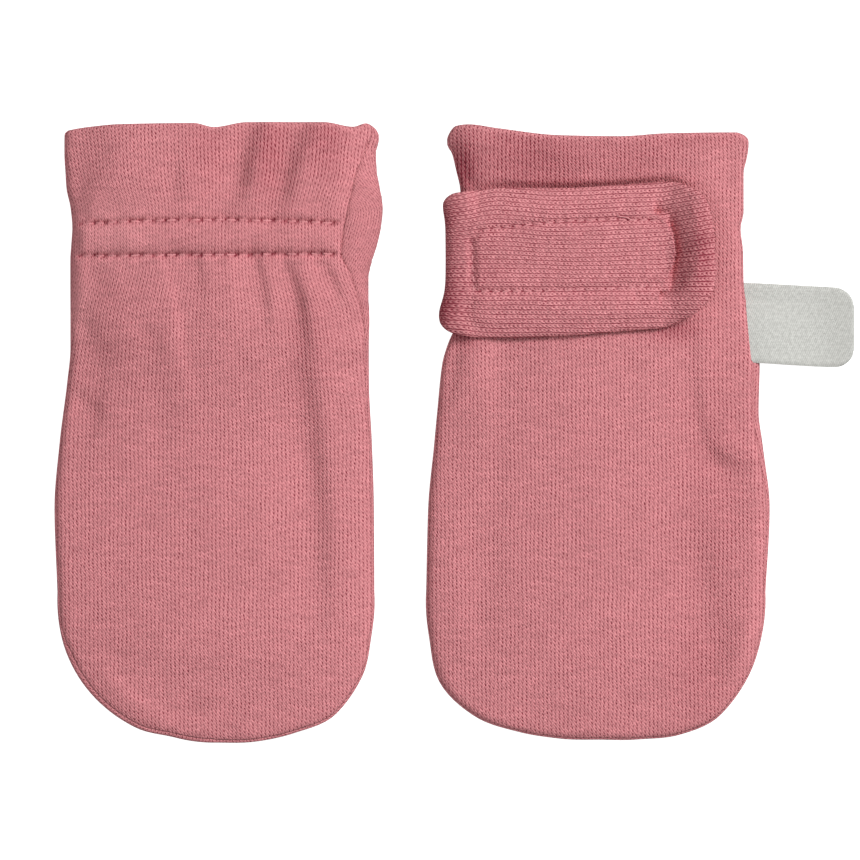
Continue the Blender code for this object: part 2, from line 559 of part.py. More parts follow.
def cover_spokes(bm, spokes, rows, spine):
    """A surface over rows of vertices that run in along spokes to a shared spine."""
    for (near, near_row), (far, far_row) in zip(zip(spokes, rows), zip(spokes[1:], rows[1:])):
        join_rows(bm, near_row, far_row)
        ends = (near_row[-1], far_row[-1], spine[far.end], spine[near.end])
        bm.faces.new(ends[:3] if near.end == far.end else ends)


def finish_mesh(bm, name, colour, roughness):
    """Turn a closed bmesh into a named object with its own material."""
    bmesh.ops.recalc_face_normals(bm, faces=bm.faces)
    mesh = bpy.data.meshes.new(name)
    bm.to_mesh(mesh)
    bm.free()
    mesh.shade_smooth()
    mesh.set_sharp_from_angle(angle=math.radians(50))
    material = bpy.data.materials.new(name + "_cloth")
    material.use_nodes = True
    shader = material.node_tree.nodes["Principled BSDF"]
    shader.inputs["Base Color"].default_value = (*colour, 1.0)
    shader.inputs["Roughness"].default_value = roughness
    shader.inputs["Metallic"].default_value = 0.0
    mesh.materials.append(material)
    thing = bpy.data.objects.new(name, mesh)
    COLLECTION.objects.link(thing)


def add_spine(bm, form, spokes, height):
    ends = {spoke.end for spoke in spokes}
    return {end: bm.verts.new(form.place((*end, height(*end)))) for end in ends}


def add_panel(name, form, on_top, rings):
    """A doubled panel: outer and inner surfaces joined at the side seam and wrist fold."""
    heights = (WRIST_Y - WALL / 2, *ROW_HEIGHTS)
    spokes = form.outline.spokes(heights, TIP_SPOKES, form.seam)
    outer_height = form.upper if on_top else form.under
    inner_height = form.upper_inside if on_top else form.under_inside
    sections = [wall_sections(form, spoke, on_top, rings) for spoke in spokes]
    bm = bmesh.new()
    outer = [add_row(bm, map(form.place, section[0])) for section in sections]
    inner = [add_row(bm, map(form.place, section[1])) for section in sections]
    outer_spine = add_spine(bm, form, spokes, outer_height)
    inner_spine = add_spine(bm, form, spokes, inner_height)
    cover_spokes(bm, spokes, outer, outer_spine)
    cover_spokes(bm, spokes, inner, inner_spine)
    join_rows(bm, [row[0] for row in outer], [row[0] for row in inner])

    top = spokes[0].end
    outer_wrist = [*outer[0], outer_spine[top], *outer[-1][::-1]]
    inner_wrist = [*inner[0], inner_spine[top], *inner[-1][::-1]]
    outside = [*sections[0][0], (*top, outer_height(*top)), *sections[-1][0][::-1]]
    inside = [*sections[0][2], (*top, inner_height(*top)), *sections[-1][2][::-1]]
    lips = [outer_wrist]
    for step in range(1, LIP_STEPS):
        row = lip_row(outside, inside, math.pi * step / LIP_STEPS)
        lips.append(add_row(bm, map(form.place, row)))
        join_rows(bm, lips[-2], lips[-1])
    zip_rows(bm, lips[-1], inner_wrist)
    for end in (0, -1):
        bm.faces.new([lip[end] for lip in lips] + [inner_wrist[end]])
    finish_mesh(bm, name, PINK_KNIT, 0.9)


def lip_row(outside, inside, turn):
    """One row of the wrist's rounded fold, from the outer face round to the inner."""
    row = []
    for a, b in zip(outside, inside):
        middle = [(p + q) / 2 for p, q in zip(a, b)]
        half = [(p - q) / 2 for p, q in zip(a, b)]
        point = [m + h * math.cos(turn) for m, h in zip(middle, half)]
        point[1] += WALL / 2 * math.sin(turn)
        row.append(tuple(point))
    return row


def add_slab(name, columns, under, thickness, place, colour, roughness):
    """A flat band: columns of plan points, a height for the under face and a thickness."""
    bm = bmesh.new()
    low = [add_row(bm, [place((x, y, under(x, y))) for x, y in line]) for line in columns]
    high = [add_row(bm, [place((x, y, under(x, y) + thickness)) for x, y in line])
            for line in columns]
    for layer in (low, high):
        for near, far in zip(layer, layer[1:]):
            join_rows(bm, near, far)
    for edge in (0, -1):
        join_rows(bm, low[edge], high[edge])
        join_rows(bm, [line[edge] for line in low], [line[edge] for line in high])
    finish_mesh(bm, name, colour, roughness)


# ---------------------------------------------------------------- elastic, tapes and label
def even(start, end, count):
    return [start + (end - start) * step / count for step in range(count + 1)]


def add_elastic(name, form):
    """The elastic lies in the hollow between the panels, behind the channel's stitch rows."""
    middle = (CHANNEL_LOW + CHANNEL_HIGH) / 2
    left = ELASTIC_INSET - form.outline.left(middle)
    right = form.outline.right(middle) - max(ELASTIC_INSET, form.seam_right(middle) + ELASTIC_SEWN)
    rows = even(middle - ELASTIC_WIDTH / 2, middle + ELASTIC_WIDTH / 2, 2)
    columns = [[(x, y) for y in rows] for x in even(left, right, 12)]

    def under(x, y):
        middle_height = (form.upper_inside(x, y) + form.under_inside(x, y)) / 2
        return middle_height - ELASTIC_THICK / 2

    add_slab(name, columns, under, ELASTIC_THICK, form.place, WHITE_ELASTIC, 0.7)


def tape_place(along, across, mirrored):
    """A place on the tape's rectangle, in the mitten's plan."""
    x = TAPE_CENTRE[0] + along * math.cos(TAPE_SLANT) - across * math.sin(TAPE_SLANT)
    y = TAPE_CENTRE[1] + along * math.sin(TAPE_SLANT) + across * math.cos(TAPE_SLANT)
    return (-x if mirrored else x), y


def add_tapes(side, form):
    """Hook tape next to the strap and loop tape next to the back panel."""
    mirrored = form.mitten.lifted
    parts = 1 if mirrored else 6
    columns = [[tape_place(along, across, mirrored)
                for across in even(-TAPE_WIDTH / 2, TAPE_WIDTH / 2, parts)]
               for along in even(-TAPE_LENGTH / 2, TAPE_LENGTH / 2, 2 * parts)]
    if mirrored:
        hook_under = STRAP_THICK + SEAM_GAP
        loop_under = hook_under + TAPE_THICK + SEAM_GAP
        hook, loop = (lambda x, y: hook_under), (lambda x, y: loop_under)
    else:
        def loop(x, y):
            return form.upper(x, y) + SEAM_GAP

        def hook(x, y):
            return loop(x, y) + TAPE_THICK + SEAM_GAP
    add_slab(side + "_hook_tape", columns, hook, TAPE_THICK, form.place, PINK_TAPE, 0.8)
    add_slab(side + "_loop_tape", columns, loop, TAPE_THICK, form.place, PINK_TAPE, 0.9)


def add_label(form):
    """The folded label comes out of the side seam and bends down to the surface."""
    first = LABEL_ROWS[0]
    columns = []
    for share in even(0.0, 1.0, 7):
        low = [a + (b - a) * share for a, b in zip(LABEL_ROOT_LOW, (first.x, first.low))]
        high = [a + (b - a) * share for a, b in zip(LABEL_ROOT_HIGH, (first.x, first.high))]
        columns.append([(low[0] + (high[0] - low[0]) * t, low[1] + (high[1] - low[1]) * t)
                        for t in even(0.0, 1.0, 4)])
    for row in LABEL_ROWS[1:]:
        columns.append([(row.x, y) for y in even(row.low, row.high, 4)])
    root_height = form.upper(LABEL_ROOT_LOW[0] - SEAM_GAP, LABEL_ROOT_LOW[1]) + SEAM_GAP

    def under(x, y):
        return root_height * (1 - smooth_step((x - LABEL_ROOT_LOW[0]) / LABEL_FALL))

    add_slab("right_label", columns, under, LABEL_THICK, form.place, GREY_LABEL, 0.75)


# ---------------------------------------------------------------- straps
def sewn_relief(x, y):
    """The furrow along the tape's stitches, and the dip past their rounded end."""
    to_end = path_frame(x, y, SEWN_END).distance
    edge = spline([py for _, py in SEWN_END[::-1]], [px for px, _ in SEWN_END[::-1]])(y)
    beyond = smooth_step(to_end / END_DIP_EDGE) * math.exp(-to_end / END_DIP_REACH)
    low, high = (y - END_DIP_LOW) / END_DIP_FADE, (END_DIP_HIGH - y) / END_DIP_FADE
    across = smooth_step(low) * smooth_step(high)
    dip = END_DIP * beyond * smooth_step((x - edge) / SEAM_GAP) * across
    return -TAPE_SINK * hump(tape_distance(x, y), TAPE_SINK_SPREAD) - dip


def strap_thickness(form, x, y):
    """From the under face up to a smooth top that bridges the rims and tapes."""
    inset = STRAP_OUTLINE.inset(*on_strap(x, y))
    upper_rim = smooth_step((y - LOWER_RIM_Y) / RIM_BLEND)
    rim_top = STRAP_RIM_TOP + (STRAP_UPPER_RIM_TOP - STRAP_RIM_TOP) * upper_rim
    inner = smooth_step((inset - STRAP_RIM_IN) / STRAP_PLATEAU_RISE)
    at_end = smooth_step((x - END_RISE_START) / END_RISE)
    plateau = rim_top + (STRAP_PLATEAU - rim_top) * inner + (END_TOP - STRAP_PLATEAU) * at_end
    turned = STRAP_BEND_HEIGHT + STRAP_THICK / 2
    lying = form.plain_upper(x, y) + plateau + pressed_by_strap(x, y) / 2
    top = turned + (lying - turned) * smooth_step((x - STRAP_BEND_START) / STRAP_RIM_RISE)
    return max(top + sewn_relief(x, y) - lying_strap_under(form, x, y), STRAP_LEAST)


def lying_strap_under(form, x, y):
    """Under face of the closed strap: on the mitten, and over the tapes between them."""
    outside = (tape_distance(x, y) - TAPE_MARGIN) / TAPE_EASE
    lying = form.upper(x, y) + SEAM_GAP + TAPES_RISE * (1 - smooth_step(outside))
    turned = STRAP_BEND_HEIGHT - STRAP_THICK / 2
    settled = smooth_step((x - STRAP_BEND_START) / STRAP_SETTLE)
    lifted = lying + END_LIFT * smooth_step((x - END_LIFT_START) / END_LIFT_RISE)
    return max(turned + (lifted - turned) * settled, min(lifted, turned))


def bend_strap(x, y, z):
    """Turn the strap's root down and back under, round the mitten's side."""
    past = STRAP_BEND_START - x
    if past <= 0:
        return x, y, z
    turn = past / STRAP_BEND_ARC
    radius = STRAP_BEND_RADIUS + z - STRAP_BEND_HEIGHT
    out = radius * STRAP_BEND_OUT / STRAP_BEND_RADIUS
    out += sum(bulge.rise * hump(y - bulge.y, bulge.spread) for bulge in STRAP_BULGES)
    middle = STRAP_BEND_HEIGHT - STRAP_BEND_RADIUS
    return STRAP_BEND_START - out * math.sin(turn), y, middle + radius * math.cos(turn)


def strap_spoke_points(spoke, skin, faces):
    """Points in along one spoke over the strap's under face, rim and upper face."""
    reach = math.dist(spoke.start, spoke.end)
    points = []
    for inset, on_top in [(inset, False) for inset in skin.under_insets[::-1]] + [
            (inset, True) for inset in skin.upper_insets]:
        across, along = Section.at_inset(spoke, inset / reach)
        x, y = STRAP_TIP_CENTRE[0] - along, STRAP_TIP_CENTRE[1] + across
        under, upper = faces(x, y)
        half = (upper - under) / 2 * rounded(inset / STRAP_EDGE_ROUND, 2.0)
        points.append((x, y, (under + upper) / 2 + (half if on_top else -half)))
    return points


def add_strap(name, row_heights, skin, faces, place):
    """The doubled strap: one closed skin over its spokes, capped at the sewn root."""
    spokes = STRAP_OUTLINE.spokes(row_heights, skin.tip_spokes, lambda x, y: 0.0)
    bm = bmesh.new()
    rows = [add_row(bm, map(place, strap_spoke_points(spoke, skin, faces))) for spoke in spokes]
    spines = []
    for face in (0, 1):
        spine = {}
        for end in {spoke.end for spoke in spokes}:
            x, y = STRAP_TIP_CENTRE[0] - end[1], STRAP_TIP_CENTRE[1]
            spine[end] = bm.verts.new(place((x, y, faces(x, y)[face])))
        spines.append(spine)
    cover_spokes(bm, spokes, rows, spines[1])
    cover_spokes(bm, spokes, [[row[0]] for row in rows], spines[0])
    top = spokes[0].end
    split = len(skin.under_insets)
    near, far = rows[0], rows[-1]
    low = [near[split], *near[split - 1::-1], spines[0][top], *far[:split], far[split]]
    high = [*near[split:], spines[1][top], *far[:split - 1:-1]]
    root = low + high[-2:0:-1]
    bm.faces.new(root)
    finish_mesh(bm, name, PINK_KNIT, 0.9)


def add_right_strap(form):
    def faces(x, y):
        under = lying_strap_under(form, x, y)
        return under, under + strap_thickness(form, x, y)

    add_strap("right_strap", STRAP_ROW_HEIGHTS, CLOSED_STRAP_SKIN, faces,
              lambda point: form.place(bend_strap(*point)))


def add_left_strap(form):
    """The left mitten lies on its strap, whose outer face is flat on the surface."""
    rows = [height for height in STRAP_ROW_HEIGHTS if height <= HIDDEN_STRAP_REACH]
    add_strap("left_strap", rows, HIDDEN_STRAP_SKIN, lambda x, y: (0.0, STRAP_THICK),
              lambda point: form.place((-point[0], point[1], point[2])))


# ---------------------------------------------------------------- the pair
def build():
    left, right = Form(LEFT), Form(RIGHT)
    add_panel("left_palm_panel", left, True, RELIEF_RINGS)
    add_panel("left_back_panel", left, False, LIFTED_RINGS)
    add_elastic("left_elastic", left)
    add_left_strap(left)
    add_tapes("left", left)
    add_panel("right_back_panel", right, True, RELIEF_RINGS)
    add_panel("right_palm_panel", right, False, PLAIN_RINGS)
    add_elastic("right_elastic", right)
    add_right_strap(right)
    add_tapes("right", right)
    add_label(right)


for thing in list(bpy.data.objects):
    bpy.data.objects.remove(thing, do_unlink=True)
COLLECTION = bpy.data.collections.new("baby_mittens")
bpy.context.scene.collection.children.link(COLLECTION)
build()
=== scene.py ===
"""The finish of a pair of baby mittens: knit cloth, stitching, strap, label and light.

Lengths are millimetres in each mitten's own plan, where nothing else is said: x runs across
the hand, y from the centre of the rounded tip to the wrist, z up from the surface it lies on.
"""

import math
from collections import namedtuple

import bmesh
import bpy
import numpy as np
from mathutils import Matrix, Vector


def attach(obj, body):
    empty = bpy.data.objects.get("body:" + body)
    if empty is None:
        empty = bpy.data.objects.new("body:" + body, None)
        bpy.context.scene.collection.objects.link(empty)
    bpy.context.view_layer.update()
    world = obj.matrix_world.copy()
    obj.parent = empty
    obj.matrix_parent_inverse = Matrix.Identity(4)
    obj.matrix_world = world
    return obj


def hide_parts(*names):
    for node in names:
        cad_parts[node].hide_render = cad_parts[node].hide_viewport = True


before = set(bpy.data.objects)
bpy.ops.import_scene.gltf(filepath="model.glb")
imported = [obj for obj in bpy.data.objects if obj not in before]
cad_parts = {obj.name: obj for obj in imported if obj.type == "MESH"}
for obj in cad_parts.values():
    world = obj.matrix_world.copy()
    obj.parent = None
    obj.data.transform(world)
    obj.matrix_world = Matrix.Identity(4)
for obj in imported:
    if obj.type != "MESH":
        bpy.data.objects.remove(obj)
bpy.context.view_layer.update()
BODY = "root"
MILLIMETRE = 0.001

# ---------------- sizes of the cloth
WALL = 1.7                # two layers of interlock, sewn as one panel
SEAM_GAP = 0.3            # between the strap, label and the cloth below them
SEWN_GAP = 0.10           # between two panels at their seam
INNER_SEAM_GAP = 0.5
SEAM_HEIGHT = 2.1
UPPER_ROUND = 2.4         # how far in from the outline the upper face is rounded
UNDER_ROUND = 3.0
ROUND_POWER = 2.2
CROWN_SHARE = 0.62        # of the height over the seam, which rises all the way to the middle
WRIST_Y = 92.0
WRIST_BEND_REACH = 12.0   # length of the cuff that follows the wrist's uneven line
TIP_CENTRE_Y = -31.9      # where the tip's centre lies in the pair's own frame
DEEPEST_RELIEF = -2.1
RELIEF_FADE = 3.0         # in from the outline, where folds fade out
FLANK_STEEPNESS = 1.2
FLANK_REACH = 3.2
CLOSED_HEIGHT = 3.2       # of both panels pressed together
RELIEF_IN_WALL = 0.5      # deeper troughs than this show on the inner face too
SEAM_ROLL = 0.22          # how far a panel's edge turns in towards its seam
SEAM_ROLL_REACH = 0.55

CHANNEL_LOW = 67.4
CHANNEL_HIGH = 74.2
CHANNEL_HALF = 26.0       # half of its length across the hand
CHANNEL_LOW_RISE = 0.2    # of its lower row, from the middle to its right end
CHANNEL_HIGH_RISE = 0.2   # of its upper row, in the middle
CHANNEL_HIGH_BOW = 0.8    # and how far that row comes down from there at its ends
CHANNEL_PUFF = 0.70
CHANNEL_FADE = 2.0
PUCKER_START = 0.8        # from the stitch row to where a small gather has its full height
PUCKER_WIDENS = 0.5
STITCH_SINK = 0.50
STITCH_SPREAD = 0.75
STITCH_PITCH = 2.4
STITCH_LIFT = 0.02
STITCH_MARGIN = 0.5       # least distance from the side seams
STITCH_LEFT_END, STITCH_RIGHT_END = -28.0, 26.0      # x where the rows' heights are taken
STITCH_ROW_POINTS = 60
HOLE_DEPTH = 0.6
HOLE_HALF_LENGTH = 0.60
HOLE_HALF_WIDTH = 0.38
HOLE_SLANT = 0.7
HOLE_WANDER = 0.10        # how far the needle strays from its row
HOLE_FADE = 1.5
STRAP_HOLE_DEPTH = 0.35
STRAP_HOLE_HALF_WIDTH = 0.24

STRAP_THICK = 1.4
PRESS = 2.1               # how far the strap presses the cuff down at its upper edge
PRESS_BELOW = 0.3
PRESS_START = 0.5         # how far inside the strap's edge it starts to come up
PRESS_EASE = 2.0          # length over which the cloth comes up again beside the strap
PRESS_UNDER = 9.0         # and under it
PRESS_END = 12.0          # x where the press starts to fade towards the strap's free end
PRESS_END_FADE = 8.0
LOWER_RIM_Y = 62.0        # up to here the strap has its lower rim's shape
PRESS_BLEND = 14.0        # length over which the press changes to the upper rim's
RIM_BLEND = 8.0           # the same for the rim's height
STRAP_EDGE_ROUND = 1.5
STRAP_BEND_START = -26.5
STRAP_BEND_RADIUS = 2.1
STRAP_BEND_OUT = 3.15     # the bend is wider than it is high
STRAP_BEND_ARC = 2.88
STRAP_BEND_HEIGHT = 5.8
STRAP_SETTLE = 2.4
STRAP_RIM_RISE = 2.8
STRAP_LENGTH = 46.0
HIDDEN_STRAP_REACH = 42.5

TAPE_LENGTH = 38.8
TAPE_WIDTH = 14.2
TAPE_THICK = 0.4
TAPE_SLANT = math.radians(1.6)
TAPE_CENTRE = (-5.8, 67.2)
TAPE_MARGIN = 0.35
TAPE_EASE = 0.7
TAPE_SINK = 0.5
TAPE_SINK_SPREAD = 0.8
TAPES_RISE = 2 * (TAPE_THICK + SEAM_GAP)
STRAP_RISE = STRAP_THICK + SEAM_GAP
LIFT_MARGIN = 1.8
UNDER_LIFT_REACH = 5.5
UPPER_LIFT_REACH = 22.0
LIFT_RIM = 12.0

LABEL_THICK = 0.6
LABEL_FALL = 17.5
LABEL_END_X = 51.4
LABEL_CORNER = 3.9
LABEL_SEWN_IN = 0.9
LABEL_WIDTH = 16.0
LABEL_EDGE_ROUND = 0.5
LABEL_EDGE_SHARE = 0.55   # of its thickness that is left at its edges
LABEL_END_LIFT = 0.4      # share of the thickness that its rounded end rises underneath
LABEL_END_TOP = 0.6       # and that is left at the end's upper side
LABEL_SHARP_ANGLE = 60.0

Fold = namedtuple("Fold", "start middle end spread points")
Flank = namedtuple("Flank", "start middle end spread points")
Pucker = namedtuple("Pucker", "x reach rise spread lean")
# Spots of painted shade on the knit, which stand partly for knit opened by stretching; where a spot's
# depth is below 0 it is painted light. A mitten lists its spots as stretched.
Stretch = namedtuple("Stretch", "x y half_width half_height depth")
NeedleRow = namedtuple("NeedleRow", "pitch depth points")
Slack = namedtuple("Slack", "y spread out")
Mitten = namedtuple("Mitten", "centre_x sides tip wrist seam heights folds stretched gathered lifted")
Grain = namedtuple("Grain", "rows tip rings fine_rows")


def table(kind, *rows):
    """A table of one kind of row, from its plain numbers."""
    return tuple(kind(*row) for row in rows)


# ---------------- left mitten, palm side up
# Sides and seams are y, left, right; tips angle, radius; wrists x, y; heights y, height.
LEFT = Mitten(
    centre_x=-48.0,
    sides=((94, 29.6, 33), (90.4, 30, 33), (87.2, 30, 32.4), (84, 29.8, 32.6),
        (80.8, 29.6, 33.2), (77, 28.8, 33.8), (72.8, 28.4, 33.4), (69.6, 28.6, 32.7), (66.4, 28.8, 31.7),
        (61.6, 28.8, 30.8), (55.2, 28.8, 31.1), (48.8, 28.8, 31), (42.4, 29.4, 31), (29.6, 31, 31.6),
        (16.8, 32, 32), (0, 31.4, 32.1)),
    tip=((0, 32.1), (15, 32.7), (30, 34.2), (45, 34.6), (60, 32.6), (75, 31.1), (90, 30.2),
        (105, 30.2), (120, 31.4), (150, 32.1), (180, 31.4)),
    wrist=((-29.6, 92.3), (-27.6, 92.7), (-24.8, 93.1), (-18.8, 93.6), (-4, 93.8), (0, 93),
        (6.6, 94), (22, 94), (27.8, 93.1), (30.4, 93.8), (33, 92.2)),
    seam=((94, 0.3, 0.9), (89.6, 0.3, 1.4), (87, 0.3, 2.2), (83.2, 0.3, 4.4),
        (80.4, 0.3, 5.6), (76.6, 0.3, 7), (72, 0.3, 7.4), (67.6, 0.3, 6.6), (63.2, 0.3, 3.4),
        (58.6, 0.3, 2), (50.4, 0.3, 0.8), (30, 0.3, 0.5), (-8, 0.5, 0.4), (-14, 1, 0.4), (-24, 0.9, 0.5),
        (-35, 0.6, 0.6)),
    heights=((94, 5), (84, 5.5), (74, 5.8), (60, 6.1), (30, 6.2), (0, 5.8), (-20, 5.2),
        (-35, 4.7)),
    folds=(
        # above the channel
        Flank(0.95, 1.85, 0.7, 2.3, ((10.4, 93.4), (7.4, 86.4), (6.2, 81.4), (4.6, 77.4))),
        Flank(0.85, 1.9, 1, 2.4, ((20.4, 93.4), (16.8, 86.4), (15, 81.4), (14.2, 77.4))),
        Flank(0.1, 0.3, 0.3, 1.4, ((-6.9, 90.4), (-6.6, 84.4), (-6.4, 78.4))),
        Flank(0.3, 0.65, 0.45, 3.2, ((25.4, 92.4), (23, 86.4), (21.4, 81.4), (20.4, 77.4))),
        Flank(0.1, 0.12, 0.05, 3.4, ((-27.4, 92), (-26.8, 84.4), (-27.4, 75.4))),
        Fold(-0.05, -0.3, -0.45, 1.6, ((2, 84), (-0.6, 80.4), (-4.4, 77.4))),
        Fold(0.05, 0.25, 0.1, 0.9, ((0, 82), (-2.8, 79.8), (-6.4, 77.6))),
        Fold(0.1, 0.25, 0.2, 1.6, ((26.4, 92), (26, 84), (24.4, 78.4))),
        # below the channel
        Flank(-0.1, -0.4, -0.1, 2, ((-26, 65), (-26.4, 57), (-26.8, 49))),
        Flank(0.6, 0.75, 0.35, 1.3, ((14.4, 67), (16.4, 62.4), (17.8, 57.4), (18.6, 51.4))),
        Flank(0.55, 1.25, 0.12, 2.7, ((17.8, 56.4), (18.6, 46.4), (19.9, 37.4), (20.8, 28.4),
                                      (21.7, 19.4), (22.2, 9.4), (22.6, -1.6), (20.8, -11.6))),
        Flank(0.3, 0.45, 0.1, 0.9, ((21.8, 66.8), (24.2, 62.6), (26.2, 57.4))),
        Flank(0.55, 0.5, 0.1, 1.1, ((9, 66.8), (10.6, 59.4), (11.4, 50.4))),
        Flank(-0.25, -0.38, -0.08, 1.2, ((-9.6, 65.4), (-7.8, 58.4), (-6.4, 48.4), (-3.4, 37.4))),
        Flank(-0.3, -0.25, -0.05, 1.5, ((4, 65.4), (5.4, 52.4))),
        Flank(0.05, 0.18, 0.05, 1.5, ((-13, 55.4), (-11.2, 50.4), (-9.4, 44.4))),
        Flank(0.3, 0.25, 0.1, 1, ((-2.8, 66.4), (-2, 61.4), (-1.8, 55.4))),
        Flank(0.1, 0.42, 0.1, 1.5, ((-28.4, 41), (-25, 38.4), (-21.2, 34.8))),
        Flank(0.08, 0.32, 0.08, 1.4, ((-26.4, 47.6), (-22.8, 48.6), (-19, 49.6))),
        Flank(0.2, 0.35, 0.1, 1.5, ((-21.8, 44.4), (-22.6, 36.4), (-25.4, 26.4))),
        Fold(-0.05, -0.25, -0.1, 2.6, ((-13.4, 46.4), (-10.8, 33.4), (-12.6, 20.4))),
        Fold(0.1, 0.45, 0.3, 1.9, ((-25, -12.6), (-18.4, -20.4), (-11.2, -25.4))),
        Fold(-0.25, -0.5, -0.3, 1.7, ((-7, -24.4), (-3, -23.8), (2.2, -23.4))),
        Fold(0.3, 0.4, 0.2, 1.6, ((5.2, -27), (8.8, -23.6), (19.6, -17.6))),
        Flank(0.15, 0.32, 0.15, 3.2, ((-24.8, -9.6), (-10, -14.2), (8, -15), (20, -12)))),
    # Spots of painted shade on the knit, and of painted light where the depth is below 0: x, y, half
    # width, half height, depth.
    stretched=table(Stretch, (-1, 88, 4.5, 6.5, 0.2), (11, 87, 4, 8.5, 0.34), (22, 89, 5, 7, 0.32),
        (19, 50, 4, 12, 0.12), (-20, 72, 8, 7, -0.22), (-27.4, 57, 3, 6, -0.25)),
    gathered=True,
    lifted=True)

# ---------------- right mitten, strap side up
RIGHT = Mitten(
    centre_x=28.8,
    sides=((93.6, 30.2, 30.2), (90.4, 30.2, 30.2), (87.2, 29.2, 29.8), (84, 28.4, 29.2),
        (80.8, 27.6, 29.2), (76, 27.3, 29.2), (72.8, 27.3, 28.6), (68, 27.3, 29.1), (61.6, 27.3, 29.2),
        (57, 27.4, 29.9), (54, 27.7, 30.7), (51.4, 29.3, 31.3), (48, 30.6, 32), (45.6, 31.2, 32.4),
        (36, 32.2, 32.2), (29.6, 32.8, 33), (16.8, 34, 34.4), (0, 34.4, 33.6)),
    tip=((0, 33.6), (15, 34), (30, 34.6), (45, 34.8), (60, 33), (75, 30.6), (90, 29.6),
        (105, 30.4), (120, 32.3), (135, 35.1), (150, 36.5), (165, 35), (180, 34.4)),
    wrist=((-30.2, 91.4), (-28.4, 93.3), (-26, 93.6), (-20, 92.8), (-7.6, 91.4),
        (4.4, 91.2), (14, 91.8), (27.6, 92), (30.2, 91)),
    seam=((93.6, 0.3, 0.3), (66, 0.3, 0.3), (57, 0.3, 0.3), (51.4, 0.3, 0.85),
        (46, 0.3, 1.25), (29, 0.3, 1.1), (17, 0.3, 0.7), (0, 0.3, 0.4), (-37, 0.3, 0.3)),
    heights=((93.6, 5.1), (84, 5.3), (66, 5.4), (45, 6), (20, 6.2), (0, 5.8), (-20, 5.2),
        (-37, 4.7)),
    folds=(
        # cuff above the strap
        Flank(0.85, 0.6, 0.35, 4.2, ((-29, 84.6), (-16, 85.2), (-4, 85.6), (12, 86.2))),
        Flank(0.4, 1, 1.1, 3.4, ((-28.6, 92), (-27.8, 86.4), (-26.4, 80.4))),
        Flank(0.05, 0.2, 0.05, 1.5, ((-14, 89.4), (-8.6, 87.4), (-5.4, 83.4))),
        Fold(-0.1, -0.3, -0.1, 1.5, ((12, 89.6), (17, 90.2), (22, 89.4))),
        Flank(-0.15, -0.35, -0.25, 2.6, ((25, 91.6), (24.6, 85), (25.4, 78))),
        # below the strap
        Flank(0.65, 0.6, 0.1, 1.9, ((-27, 51.4), (-28.2, 43.4), (-30.4, 34.4))),
        Flank(-0.35, -0.4, -0.1, 2.8, ((-20.8, 51.4), (-21.4, 41.4), (-21.8, 29.4))),
        Flank(-0.1, -0.32, -0.15, 2.8, ((-26.6, 20.4), (-27.4, 6.4), (-25, -10.6))),
        Fold(-0.15, -0.25, -0.15, 2.4, ((-18.4, 33.4), (-20.8, 18.4), (-22.4, 0.4), (-23.6, -11.6))),
        Flank(0.3, 0.4, 0.42, 1.6, ((19.4, 51.4), (20.2, 38.4), (21.4, 32.4), (23.8, 27.6))),
        Flank(0.42, 0.5, 0.2, 1.5, ((23.8, 27.6), (27.4, 25.8), (31.4, 25.2))),
        Fold(0.15, 0.35, 0.15, 1.7, ((26, 40.4), (25.4, 34.4), (26.8, 29.4))),
        Flank(0.2, 0.45, 0.2, 3, ((27.6, 44), (29, 10), (27.4, -16))),
        Flank(0.25, 0.85, 0.75, 4, ((20.4, 19.4), (21.8, 9.4), (24.2, -2), (25.2, -9.6))),
        Fold(-0.3, -0.55, -0.2, 3.4, ((25, -8), (18.4, -16.6), (10.4, -22.6), (3.4, -26.4))),
        Fold(0.2, 0.35, 0.2, 1.8, ((29.4, -9.6), (26, -17), (20.6, -22.6))),
        Fold(0.05, 0.18, 0.05, 1.4, ((-1, -5.8), (2.4, -5.4), (6.4, -4.4))),
        Fold(-0.2, -0.3, -0.15, 1.8, ((-17.4, -24), (-14.6, -22.8), (-12, -21))),
        Fold(0.15, 0.28, 0.15, 2.3, ((-8, -23), (-4.6, -21.6), (-2, -19))),
        Fold(0.15, 0.25, 0.15, 1.9, ((8.4, -26.4), (14, -24.6), (19.4, -21.6)))),
    # Spots of painted shade on the knit: on the cuff, in the groove above the strap and in the shadows
    # below its two ends; x, y, half width, half height, depth.
    stretched=table(Stretch, (-13, 87, 13, 8, 0.34), (9, 87, 8, 7, 0.18), (-8, 81.4, 13, 1.5, 0.15),
        (20, 92, 8, 3, 0.2), (24, 22, 7, 26, 0.12), (15, 52.6, 5, 2.6, 0.4), (20, -16, 6, 10, 0.12),
        (-27, 84, 2.6, 4.5, 0.6), (-26.5, 53, 3, 3, 0.8)),
    gathered=False,
    lifted=False)

